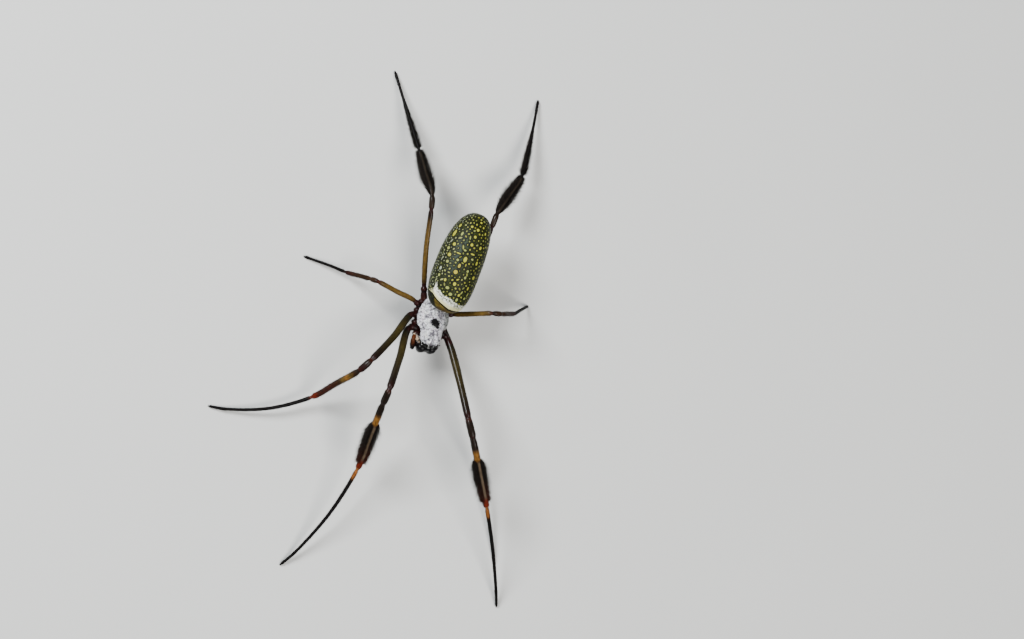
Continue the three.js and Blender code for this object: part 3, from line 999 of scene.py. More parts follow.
DARK_JOINT = keys("0 MAROON, 0.6 BLACK, 0.67 MAROON, 0.8 MAROON, 1 MAROON")
PAIRS = (
    LegPair(
        (2.1, -1.5), (0.8, 0.78, 0.68, 0.68, 0.35), 3.8,
        (
            DARK_JOINT,
            keys("0 MAROON, 0.07 MAROON, 0.11 BLACK_OLIVE, 0.2 OLIVE_BROWN, 0.35 OLIVE, 0.65 OLIVE_BROWN,"
                 "0.9 DARK_BROWN, 1 MAROON"),
            keys("0 RED_BROWN, 0.2 DARK_BROWN, 0.8 DARK_BROWN, 1 MAROON"),
            keys("0 DARK_BROWN, 0.13 DARK_BROWN, 0.2 BAND, 0.28 BAND, 0.33 BLACK, 0.6 BLACK, 0.84 MAROON,"
                 "0.9 EMBER, 1 EMBER"),
            keys("0 AMBER, 0.07 AMBER, 0.1 DARK_BROWN, 0.13 BLACK, 1 BLACK"),
        ),
        (Brush(Segment.TIBIA, 0.3, 0.9, 7600, 1.34, 0.2, 0.5, 0.55, Paint.RUST),),
        highlight_top=0.8,
    ),
    LegPair(
        (2.14, 0.38), (0.78, 0.75, 0.65, 0.65, 0.34), 3.5,
        (
            DARK_JOINT,
            keys("0 MAROON, 0.06 MAROON, 0.1 BLACK_OLIVE, 0.2 OLIVE_BROWN, 0.35 OLIVE, 0.65 OLIVE_BROWN,"
                 "0.92 DARK_BROWN, 1 MAROON"),
            keys("0 RED_BROWN, 0.2 DARK_BROWN, 0.8 MAROON, 1 RED_BROWN"),
            keys("0 DARK_BROWN, 0.06 BROWN, 0.16 OCHRE, 0.22 BAND, 0.3 OCHRE, 0.4 BROWN, 0.6 RED_BROWN,"
                 "0.86 RED_BROWN, 0.92 EMBER, 1 EMBER"),
            keys("0 EMBER, 0.02 RED_BROWN, 0.05 BLACK, 1 BLACK"),
        ),
    ),
    LegPair(
        (2.06, 2.1), (0.66, 0.56, 0.48, 0.48, 0.28), 2.6,
        (
            DARK_JOINT,
            keys("0 MAROON, 0.05 OCHRE_DARK, 0.15 OCHRE, 0.8 OCHRE, 0.95 OCHRE_DARK, 1 RED_BROWN"),
            keys("0 DARK_BROWN, 0.3 BROWN, 1 BROWN"),
            keys("0 BROWN, 0.5 BROWN, 0.8 RED_BROWN, 1 MAROON"),
            keys("0 DARK_BROWN, 0.08 BLACK, 1 BLACK"),
        ),
        dull=0.7,
    ),
    LegPair(
        (1.9, 3.95), (0.72, 0.57, 0.56, 0.56, 0.31), 3.3,
        (
            keys("0 RED_BROWN, 0.62 MAROON, 0.7 BLACK, 0.78 MAROON, 1 RED_BROWN"),
            keys("0 MAROON, 0.03 MAROON, 0.06 OCHRE_DARK, 0.12 OCHRE, 0.6 OCHRE, 0.84 OCHRE_DARK,"
                 "0.93 DARK_BROWN, 1 MAROON"),
            keys("0 MAROON, 0.2 PLUM, 1 DARK_BROWN"),
            keys("0 DARK_BROWN, 0.1 BLACK, 1 BLACK"),
            keys("0 BLACK, 1 BLACK"),
        ),
        (
            Brush(Segment.TIBIA, 0.0, 0.98, 7200, 1.26, 0.42, 0.12, 0.4),
            Brush(Segment.METATARSUS, 0.01, 0.6, 3800, 0.84, 0.06, 0.9, 0.2),
        ),
    ),
)


@dataclass(frozen=True)
class Stance:
    """Where the joints of one leg are, from hip to foot, and how far its femur and metatarsus bow forward."""

    pair: int
    side: Side
    hip: Point
    knee: Point
    shin: Point
    ankle: Point
    foot: tuple[float, float]
    bow: tuple[float, float]


STANCES = (
    Stance(1, Side.RIGHT, (-3.8, -2.1, 7.2), (-7.0, -15.3, 17.7), (-6.8, -18.5, 16.0), (-5.2, -32.3, 7.6),
           (-12.2, -55.4), (0, 1.3)),
    Stance(1, Side.LEFT, (4.2, -1.8, 7.2), (11.5, -15.9, 14.5), (13.6, -19.5, 15.1), (22.2, -31.8, 10.8),
           (34.3, -50.6), (-0.3, -0.4)),
    Stance(2, Side.RIGHT, (-4.0, 0.7, 7.2), (-11.0, -10.8, 13.0), (-12.5, -13.6, 12.1), (-17.6, -21.4, 3.5),
           (-36.4, -29.5), (0.2, 1.5)),
    Stance(2, Side.LEFT, (3.4, 0.2, 4.7), (10.7, -11.8, 9.0), (12.8, -15.1, 9.0), (20.2, -24.4, 4.1),
           (30.9, -42.1), (-0.5, -0.3)),
    Stance(3, Side.RIGHT, (-4.4, 3.2, 7.2), (-13.5, 4.5, 9.1), (-14.8, 4.6, 7.6), (-18.7, 4.5, 2.3),
           (-27.2, 4.9), (0, -0.1)),
    Stance(3, Side.LEFT, (4.0, 3.1, 7.2), (9.9, 5.6, 13.4), (12.0, 6.1, 12.8), (16.1, 7.2, 8.0),
           (20.8, 9.8), (0, 0)),
    Stance(4, Side.RIGHT, (-3.6, 6.6, 7.2), (-8.2, 21.5, 10.9), (-8.9, 24.2, 10.7), (-13.0, 32.4, 5.7),
           (-21.2, 46.0), (0.3, 0)),
    Stance(4, Side.LEFT, (3.4, 6.6, 7.2), (5.5, 22.1, 9.3), (5.7, 25.1, 9.3), (9.5, 34.3, 5.3),
           (9.4, 50.2), (0.4, -0.2)),
)


@dataclass
class Leg:
    """One leg: a skin from hip to toe, its bristles and fine hair, and its claws.

    Tiers are the kinds of bristle in a brush, from the short inner to the long outer ones: share of the
    number, share of the reach, width and unevenness. Fine gives the short hairs per mm of each segment, with
    their length. Claw points are mm along, aside and up from the toe.
    """

    stance: Stance
    finish: Finishes
    root_height: float = 6.85
    foot_height: float = 0.24
    foot_radius: float = 0.27
    row: float = 0.18
    sides: int = 20
    inset: float = 0.985
    neck: float = 0.86
    toe_start: float = 0.97
    toe_end: float = 0.78
    grid: float = 0.04
    blur: float = 0.1
    blur_steps: int = 8
    tiers: Sequence[tuple[float, ...]] = (
        (0.4, 0.6, 0.05, 0.3), (0.34, 0.84, 0.045, 0.3), (0.26, 1.1, 0.034, 0.4),
    )
    bristle_excess: float = 1.15
    fine: Profile = ((22, 0.3), (26, 0.3), (34, 0.34), (85, 0.4), (130, 0.3))
    fine_width: float = 0.032
    claw_form: Profile = ((0, 0.075), (0.5, 0.055), (1, 0.012))
    claw_points: Sequence[Point] = ((-0.08, 0.05, 0.0), (0.12, 0.09, 0.03), (0.28, 0.12, -0.12))

    def __post_init__(self) -> None:
        """Works out the course that the leg follows."""
        self.pair = PAIRS[self.stance.pair - 1]
        self.label = f"leg_{self.stance.pair}_{self.stance.side.word}"
        self.course = Course(self.path_points())
        self.keys = self.radius_keys()

    def bowed(self, start: Array, end: Array, share: float, bow: float) -> Array:
        """A place between two joints, moved forward by the bow."""
        side = unit(np.cross(end - start, UP))
        return start + (end - start) * share + bow * (side if side[1] < 0 else -side)

    def path_points(self) -> list[Array]:
        """Joints and bowed places that the leg passes through, in the body's plan."""
        s, pair = self.stance, self.pair
        root = turned(np.array([s.side.value * pair.root[0], pair.root[1], self.root_height]), PROSOMA_TURN)
        hip, knee, shin, ankle = (np.array(p, float) for p in (s.hip, s.knee, s.shin, s.ankle))
        toe = np.array([*s.foot, self.foot_height])
        tarsus = 1 - pair.tarsus / np.linalg.norm(toe - ankle)
        thigh, calf = self.bowed(hip, knee, 0.5, s.bow[0]), (shin + ankle) / 2
        bows = ((tarsus / 2, s.bow[1]), (tarsus, s.bow[1] * 0.6))
        outer = [self.bowed(ankle, toe, share, bow) for share, bow in bows]
        return [root, hip, thigh, knee, shin, calf, ankle, *outer, toe]

    def span(self, segment: Segment) -> tuple[float, float]:
        """Lengths along the leg at which a segment starts and ends."""
        start, end = (self.course.joints[joint] for joint in segment.value)
        return start + JOINT_GAP / 2, end - (0 if segment is Segment.METATARSUS else JOINT_GAP / 2)

    def radius_keys(self) -> Array:
        """Length and radius along the leg, with a narrow neck at each joint and a rounded toe."""
        rows = []
        for segment, form, full in zip(Segment, LEG_FORMS, self.pair.radii):
            start, end = self.span(segment)
            rows += [(start + share * (end - start), factor * (full * self.inset)) for share, factor in form]
            if segment is not Segment.METATARSUS:
                rows.append((end + JOINT_GAP / 2, self.neck * rows[-1][1]))
        rows.append((start + self.toe_start * (end - start), self.foot_radius * self.inset))
        rows.append((end, self.toe_end * self.foot_radius))
        return np.array(rows)

    def radius_at(self, length: Array) -> Array:
        """Radius of the skin, smoothed over its keys and closed at the toe.

        Args:
            length: Lengths along the leg.

        Returns:
            The radius at each.
        """
        at, reach = np.arange(0, self.course.total, self.grid), self.blur_steps
        raw = np.interp(at, self.keys[:, 0], self.keys[:, 1])
        kernel = np.exp(-0.5 * (np.arange(-reach, reach + 1) * self.grid / self.blur) ** 2)
        soft = np.convolve(np.pad(raw, reach, mode="edge"), kernel / kernel.sum(), mode="valid")
        to_end = np.clip((self.course.total - length) / 0.2, 0, 1)
        return np.interp(length, at, soft) * np.sqrt(np.maximum(1 - (1 - to_end) ** 2, 0.02))

    def share_in(self, segment: Segment, length: Array) -> Array:
        """Share of a segment that each length stands at, below 0 before it and above 1 after it."""
        start, end = self.span(segment)
        return (length - start) / (end - start)

    def colours(self, length: Array, upward: Array) -> Array:
        """Colour of the skin: the pair's marks with painted shade on the sides and underside, and a painted
        highlight streak along the top of the first brush.

        Args:
            length: Lengths along the leg.
            upward: 1 on the top of the leg and -1 under it.

        Returns:
            One linear RGB row for each.
        """
        paint = np.zeros((len(length), 3))
        for segment, marks in zip(Segment, self.pair.marks):
            share = self.share_in(segment, length)
            chosen = share >= -0.02
            paint[chosen] = blend_paint(marks, np.clip(share[chosen], 0, 1))
        # Painted shade: the sides and underside are darkened, as the light falls on the top.
        paint = paint * (0.5 + 0.5 * smooth_step(-0.2, 0.85, upward))[:, None]
        # Painted highlight: a pale streak along the top of the first brush, where the bristles part.
        for brush in self.pair.brushes[:1]:
            share = self.share_in(brush.segment, length)
            bare = smooth_step(brush.start, brush.start + 0.05, share)
            bare *= 1 - smooth_step(brush.end - 0.1, brush.end, share)
            bare *= smooth_step(0.86, 0.96, upward) * self.pair.highlight_top
            paint = between(paint, Paint.BARE_STREAK.linear, bare[:, None])
        return paint

    def skin(self) -> Skin:
        """The leg's own surface."""
        total, dull = self.course.total, self.pair.dull
        rows = round(total / self.row)
        skin = wound(self.course, lambda share: self.radius_at(share * total), rows, self.sides, in_plan, 0.0)
        length, upward = skin.along * total, np.sin(skin.turn)
        skin.marks.update(length=length, up=upward)
        paint_points(skin.mesh, self.colours(length, upward))
        shin, ankle = (self.course.joints[joint] for joint in Segment.TIBIA.value)
        matt = dull * smooth_step(shin - 2, shin + 1, length)
        mark_points(skin.mesh, matt=matt + (0.92 - dull) * smooth_step(ankle - 1, ankle + 1.5, length))
        return skin

    def grow_brush(self, coat: Coat, skin: Skin, brush: Brush) -> None:
        """Stands a brush's bristles on the skin, thinner along the top where the cuticle shines through.

        Args:
            coat: The leg's coat.
            skin: Its skin.
            brush: The brush.
        """
        share = self.share_in(brush.segment, skin.marks["length"])
        there = smooth_step(brush.start - 0.02, brush.start + 0.02, share)
        there *= 1 - smooth_step(brush.end - 0.02, brush.end + 0.02, share)
        there *= 1 - 0.97 * smooth_step(0.74, 0.88, skin.marks["up"])
        for part, reach, width, unevenness in self.tiers:
            roots = coat.roots(skin, round(part * brush.hairs), there)
            along = self.share_in(brush.segment, roots.marks["length"]) - brush.start
            along /= brush.end - brush.start
            shorter = 1 - 0.5 * smooth_step(0.55, 0.85, roots.marks["up"])
            roots.marks["hair"] = brush.length_factor(np.clip(along, 0, 1)) * shorter
            length = brush.reach * reach * self.bristle_excess
            cut = HairCut(length, width, lift=68, droop=18, scatter=10, unevenness=unevenness, waist=0.9)
            tint = smooth_step(0.35, 1.0, along)[:, None]
            root = between(Paint.BRISTLE.linear, brush.last_root.linear, tint)
            coat.grow(roots, cut, root, Paint.BRUSH_TIP.linear)

    def grow_fine_hair(self, coat: Coat, skin: Skin) -> None:
        """Short hair that leans to the toe: sparse near the hip, close and dark on the outer pieces.

        Args:
            coat: The leg's coat.
            skin: Its skin.
        """
        length = skin.marks["length"]
        for segment, (per_mm, size) in zip(Segment, self.fine):
            start, end = self.span(segment)
            weight = ((length > start) & (length < end)).astype(float)
            cut = HairCut(size, self.fine_width, lift=38, droop=16, scatter=10, unevenness=0.35)
            roots = coat.roots(skin, round(per_mm * (end - start)), weight)
            coat.grow(roots, cut, Paint.BRISTLE.linear, Paint.BRISTLE_TIP.linear)

    def build(self) -> None:
        """Makes the leg's pieces."""
        skin = self.skin()
        nodes = (f"{self.label}_{segment.name.lower()}" for segment in Segment)
        add_piece(f"{self.label}_skin", skin.mesh, self.finish.cuticle, "femur", *nodes)
        coat = Coat(seed=100 * self.stance.pair + self.stance.side.value)
        for brush in self.pair.brushes:
            self.grow_brush(coat, skin, brush)
        self.grow_fine_hair(coat, skin)
        coat.build(f"{self.label}_coat", self.finish.bristle, "shin")
        self.build_claws()

    def build_claws(self) -> None:
        """Makes the two small curved claws at the toe."""
        place, along, across, _ = (rows[0] for rows in self.course.frames(np.array([self.course.total])))
        for number, side in enumerate(Side, start=1):
            points = [place + a * along + b * side.value * across + c * UP for a, b, c in self.claw_points]
            claw = cone(points, self.claw_form, 10, 10)
            paint_points(claw.mesh, Paint.BLACK.linear)
            add_piece(f"{self.label}_claw_{number}", claw.mesh, self.finish.cuticle, "shin")


def superellipse(angle: Array, power: float) -> tuple[Array, Array]:
    """Sideways and upward shares of a superellipse."""
    x, z = np.cos(angle), np.sin(angle)
    return np.sign(x) * np.abs(x) ** (2 / power), np.sign(z) * np.abs(z) ** (2 / power)


def line_distance(points: Array, start: Sequence[float], end: Sequence[float]) -> Array:
    """Distance in plan from a straight stretch.

    Args:
        points: The places.
        start: Start of the stretch.
        end: Its end.

    Returns:
        One distance for each place.
    """
    a, b = np.array(start), np.array(end)
    share = np.clip(((points[:, :2] - a) @ (b - a)) / ((b - a) @ (b - a)), 0, 1)
    return np.linalg.norm(points[:, :2] - a - share[:, None] * (b - a), axis=1)


@dataclass
class ForeBody:
    """Head and thorax: the shield with its silver down, and the trunk with soft folds under it.

    Rows of the shield are y, half width, height of the top and height of the rim. Furrows are start, end,
    depth and width on the left side, worn places are middle and size. The bald patch is a union of circles.
    """

    finish: Finishes
    rows: Sequence[tuple[float, float, float, float]] = (
        (-4.75, 1.3, 10.0, 9.1), (-4.4, 1.75, 10.45, 8.9), (-3.4, 2.0, 10.95, 8.7), (-2.2, 2.1, 11.15, 8.5),
        (-1.4, 2.2, 11.0, 8.4), (-0.6, 2.85, 10.8, 8.3), (0.5, 3.2, 10.75, 8.25), (1.7, 3.2, 10.5, 8.2),
        (3.1, 2.75, 9.5, 8.1), (4.3, 1.95, 8.35, 7.8), (5.1, 1.1, 7.85, 7.5),
    )
    row_steps: int = 20
    grid: tuple[int, int] = (110, 96)
    rim: float = 0.4
    power: float = 2.3
    brow_round: float = 0.05
    brow_reach: float = 0.12
    furrows: Sequence[tuple[tuple[float, float], tuple[float, float], float, float]] = (
        ((0.9, 0.5), (2.4, -1.5), 0.13, 0.22), ((0.5, 1.3), (2.9, 0.5), 0.07, 0.2),
        ((0.5, 1.6), (2.8, 2.3), 0.07, 0.2), ((0.3, 1.9), (1.8, 3.6), 0.07, 0.2),
        ((0.0, 1.6), (0.35, 1.6), 0.18, 0.16),
    )
    knob: Point = (0.42, -0.05, 0.26)
    knob_width: float = 0.17
    bald_lobes: Sequence[Point] = ((-0.12, 0.25, 0.78), (0.3, 0.15, 0.7), (0.42, -0.55, 0.46))
    worn_places: Sequence[Point] = (
        (-1.64, -0.63, 0.22), (0.54, -2.36, 0.2), (0.91, 1.3, 0.45), (1.6, -0.9, 0.35), (1.2, 2.1, 0.3),
    )
    down: int = 17000
    down_cut: HairCut = HairCut(0.27, 0.08, 24, 22, flat=0.35, scatter=28, unevenness=0.35, waist=0.9)
    brow_hairs: int = 200
    brow_cut: HairCut = HairCut(0.4, 0.03, 55, 25, scatter=20)
    trunk_half: Point = (2.5, 7.7, 1.45)
    trunk_front: float = -3.2
    trunk_height: float = 7.4
    trunk_power: float = 2.6
    fold_half: tuple[float, ...] = (0.9, 0.66, 0.85, 1.0)
    fold_height: float = 6.95
    fold_places: dict[Side, Profile] = field(
        default_factory=lambda: {
            Side.RIGHT: ((-2.4, -2.5), (-3.0, -0.25), (-2.95, 2.15), (-2.3, 4.0)),
            Side.LEFT: ((2.2, -2.6), (2.7, -0.9), (2.75, 1.15), (2.5, 3.3)),
        }
    )

    def relief(self, p: Array) -> Array:
        """Furrows, pit and the two small knobs of the shield.

        Args:
            p: Changes on the shield, in plan.

        Returns:
            The height at each, in mm.
        """
        side = np.column_stack([np.abs(p[:, 0]), p[:, 1]])
        height = np.zeros(len(p))
        for start, end, depth, width in self.furrows:
            height -= depth * np.exp(-((line_distance(side, start, end) / width) ** 2))
        x, y, tall = self.knob
        return height + tall * np.exp(-((np.hypot(side[:, 0] - x, side[:, 1] - y) / self.knob_width) ** 2))

    def shield(self) -> Skin:
        """The shield's surface, bent to its rows and rounded at both ends."""
        mesh, plain = unit_cylinder(*self.grid)
        u, angle, edge = plain[:, 2], np.arctan2(plain[:, 1], plain[:, 0]), self.brow_round
        up = np.sin(angle)
        rows, steps = np.array(self.rows), self.row_steps
        flat = 0 * rows[:, 0]
        lines = [catmull_rom(np.column_stack([rows[:, 0], rows[:, i], flat]), steps) for i in (1, 2, 3)]
        t = np.arange(len(lines[0])) / steps
        at = np.clip((u - edge) / (1 - 2 * edge), 0, 1) * t[-1]
        columns = (lines[0][:, 0], *(line[:, 1] for line in lines))
        y, half, top, rim = (np.interp(at, t, column) for column in columns)
        cap = np.clip(np.minimum(u, 1 - u) / edge, 0, 1)
        full = np.sqrt(np.maximum(1 - (1 - cap) ** 2, 0)) * np.linalg.norm(plain[:, :2], axis=1)
        y = y + np.where(u < edge, -1, 1) * self.brow_reach * (1 - cap)
        x, z = superellipse(angle, self.power)
        above = np.where(z > 0, top - rim, self.rim)
        level = rim + (top - rim) * 0.45 * (1 - full) * (u < 0.5)
        plan = np.column_stack([x * half * full, y, level + z * above * full])
        plan[:, 2] += self.relief(plan) * smooth_step(0.3, 0.8, up) * full
        x, y = plan[:, 0], plan[:, 1]
        ones = np.ones(len(x))
        lie = turned(np.column_stack([0.35 * np.sign(x), ones, -0.1 * ones]), PROSOMA_TURN)
        cover = self.cover(x, y, up)
        bare = between(Paint.JET.linear, Paint.MAROON.linear, 0.6 * smooth_step(0.3, -0.2, up)[:, None])
        skin = Skin(mesh, in_prosoma(plan), u, angle, lie, {"x": x, "y": y, "up": up, "cover": cover})
        paint_points(mesh, between(bare, Paint.SILVER_DARK.linear, 0.8 * cover[:, None]))
        return skin

    def cover(self, x: Array, y: Array, up: Array) -> Array:
        """How thick the down is: none on the bald patch, the face and the underside, with a scalloped front.

        Args:
            x: Changes across, in plan.
            y: Changes along, in plan.
            up: 1 on the top and -1 on the underside.

        Returns:
            A share for each place.
        """
        bald = np.min([np.hypot(x - mx, y - my) / half for mx, my, half in self.bald_lobes], axis=0)
        bald += 0.3 * (cloud(np.column_stack([x, y, 0 * x]), 0.33, 18) - 0.5)
        worn = [((x - mx) ** 2 + (y - my) ** 2) / size**2 for mx, my, size in self.worn_places]
        thin = np.exp(-np.min(worn, axis=0))
        front = -4.36 - 0.1 * np.cos(2 * math.pi * (x + 0.2) / 1.05) + 0.15 * x**2
        out = smooth_step(0.95, 1.18, bald) * smooth_step(-0.12, 0.12, y - front)
        return out * smooth_step(0.02, 0.18, up) * (1 - 0.75 * thin)

    def lumps(self, marks: dict[str, Array]) -> Array:
        """Clumps in the down, from 0 to 1."""
        place = np.column_stack([marks["x"], marks["y"], marks["up"]])
        return 0.6 * cloud(place, 0.23, 11) + 0.4 * cloud(place, 0.47, 12)

    def grow_down(self, coat: Coat, skin: Skin) -> None:
        """Matted silver scale-hairs over the shield, with longer dark hairs at the brow. Toward the shield's
        left edge the down is greyed green as painted shade, for the side turned from the light.

        Args:
            coat: The shield's coat.
            skin: Its skin.
        """
        patchy = smooth_step(0.28, 0.5, self.lumps(skin.marks))
        roots = coat.roots(skin, self.down, skin.marks["cover"] * (0.3 + 0.7 * patchy))
        x, y, up = (roots.marks[name] for name in ("x", "y", "up"))
        lights = smooth_step(0.28, 0.56, self.lumps(roots.marks) + 0.08 * coat.rng.normal(0, 1, self.down))
        lights *= 1 - 0.7 * np.exp(-(((x - 1.1) / 0.8) ** 2) - ((y - 1.3) / 1.1) ** 2)
        lights = lights[:, None]
        place = np.column_stack([x, y, up])
        tints = np.column_stack([cloud(place, 0.35, seed) for seed in (14, 15, 16)])
        paint = between(Paint.SILVER_DARK.linear, Paint.SILVER.linear, lights) * (1 + 0.1 * (tints - 0.5))
        # Painted shade: the down greys to green toward the left edge, the side turned from the light.
        shaded_side = Paint.SILVER_GREEN.linear * (0.4 + 0.6 * lights)
        coat.grow(roots, self.down_cut, between(paint, shaded_side, 0.7 * smooth_step(1.5, 2.3, x)[:, None]))
        brow = smooth_step(0.1, 0.5, skin.marks["up"]) * (1 - smooth_step(-4.6, -3.2, skin.marks["y"]))
        roots = coat.roots(skin, self.brow_hairs, brow)
        coat.grow(roots, self.brow_cut, Paint.BRISTLE.linear, Paint.BRISTLE_TIP.linear)

    def trunk(self) -> Mesh:
        """The softer body under the shield, in which the legs are rooted."""
        mesh, plain = unit_cylinder(60, 48)
        half, length, tall = self.trunk_half
        share, radius = 0.02 + 0.96 * plain[:, 2], np.linalg.norm(plain[:, :2], axis=1)
        full = np.sqrt(np.maximum(1 - np.abs(2 * share - 1) ** 3, 0.0))
        x, z = superellipse(np.arctan2(plain[:, 1], plain[:, 0]), self.trunk_power)
        x = x * half * full * radius * (1 + 0.03 * np.sin(share * 8 * math.pi))
        z = self.trunk_height + z * tall * (0.55 + 0.45 * full) * radius
        place_points(mesh, in_prosoma(np.column_stack([x, self.trunk_front + length * share, z])))
        paint_points(mesh, Paint.MAROON.linear * 0.8)
        return mesh

    def folds(self, side: Side) -> Mesh:
        """Soft skin that bulges between the leg roots of one side.

        Args:
            side: The side.

        Returns:
            The mesh.
        """
        bm = bmesh.new()
        for x, y in self.fold_places[side]:
            matrix = Matrix.Translation((x, y, self.fold_height)) @ Matrix.Diagonal(self.fold_half)
            bmesh.ops.create_uvsphere(bm, u_segments=28, v_segments=18, radius=1, matrix=matrix)
        mesh, plain = plain_mesh(bm)
        points = in_prosoma(plain)
        place_points(mesh, points)
        paint_points(mesh, Paint.MAROON.linear * (0.6 + 0.8 * cloud(points, 0.5, 21)[:, None]))
        return mesh

    def build(self) -> None:
        """Makes the front body's pieces."""
        skin = self.shield()
        add_piece("shield", skin.mesh, self.finish.crust, "shell", "carapace")
        coat = Coat(seed=7)
        self.grow_down(coat, skin)
        coat.build("shield_down", self.finish.down, "shell")
        add_piece("trunk", self.trunk(), self.finish.cuticle, "leg_root")
        for side in Side:
            add_piece(f"folds_{side.word}", self.folds(side), self.finish.cuticle, "leg_root")


@dataclass
class BreastPlate:
    """Heart-shaped plate between the leg roots."""

    finish: Finishes
    front: float = -2.5
    back: float = 3.4
    half_width: float = 1.5
    height: float = 5.5
    above: float = 0.1
    below: float = 0.45
    marks: Keys = keys("0 MAROON, 0.5 OCHRE_DARK, 1 MAROON")
    hairs: int = 420
    cut: HairCut = HairCut(0.32, 0.03, 45)

    def build(self) -> None:
        """Makes the plate and its thin hair."""
        mesh, plain = unit_ball(48, 40)
        share, angle = 0.5 - 0.5 * plain[:, 2], np.arctan2(plain[:, 1], plain[:, 0])
        up, bulge = np.sin(angle), np.linalg.norm(plain[:, :2], axis=1) ** 0.8
        lobes = 1.08 - 0.3 * share + 0.05 * np.cos(share * 8 * math.pi)
        x = np.cos(angle) * self.half_width * bulge * lobes
        z = np.where(up > 0, self.above, self.below) * up * bulge + self.height
        points = in_prosoma(np.column_stack([x, self.front + share * (self.back - self.front), z]))
        skin = Skin(mesh, points, share, angle, BACKWARD)
        paint_points(mesh, blend_paint(self.marks, share))
        add_piece("breast_plate", mesh, self.finish.cuticle, "underside", "sternum")
        coat = Coat(seed=17)
        coat.grow(coat.roots(skin, self.hairs, np.maximum(-up, 0)), self.cut, Paint.BRISTLE_TIP.linear)
        coat.build("breast_hair", self.finish.bristle, "underside")


@dataclass
class Eyes:
    """Eight small dark eyes in two rows, as place on the left of the head and radius."""

    finish: Finishes
    places: Sequence[tuple[str, Point, float]] = (
        ("front_middle", (0.42, -4.72, 9.78), 0.2),
        ("rear_middle", (0.5, -4.5, 10.32), 0.2),
        ("front_side", (1.68, -4.4, 9.55), 0.17),
        ("rear_side", (1.9, -4.12, 9.85), 0.17),
    )
    swell: float = 1.02

    def build(self) -> None:
        """Makes each eye."""
        for name, (x, y, z), radius in self.places:
            for side in Side:
                middle = in_prosoma(np.array([x * side.value, y, z]))
                mesh, _ = ball((radius * self.swell,) * 3, middle, 28, 18, np.asarray)
                label = f"{name}_{side.word}"
                add_piece(f"eye_ball_{label}", mesh, self.finish.glass, "eye", f"eye_{label}")


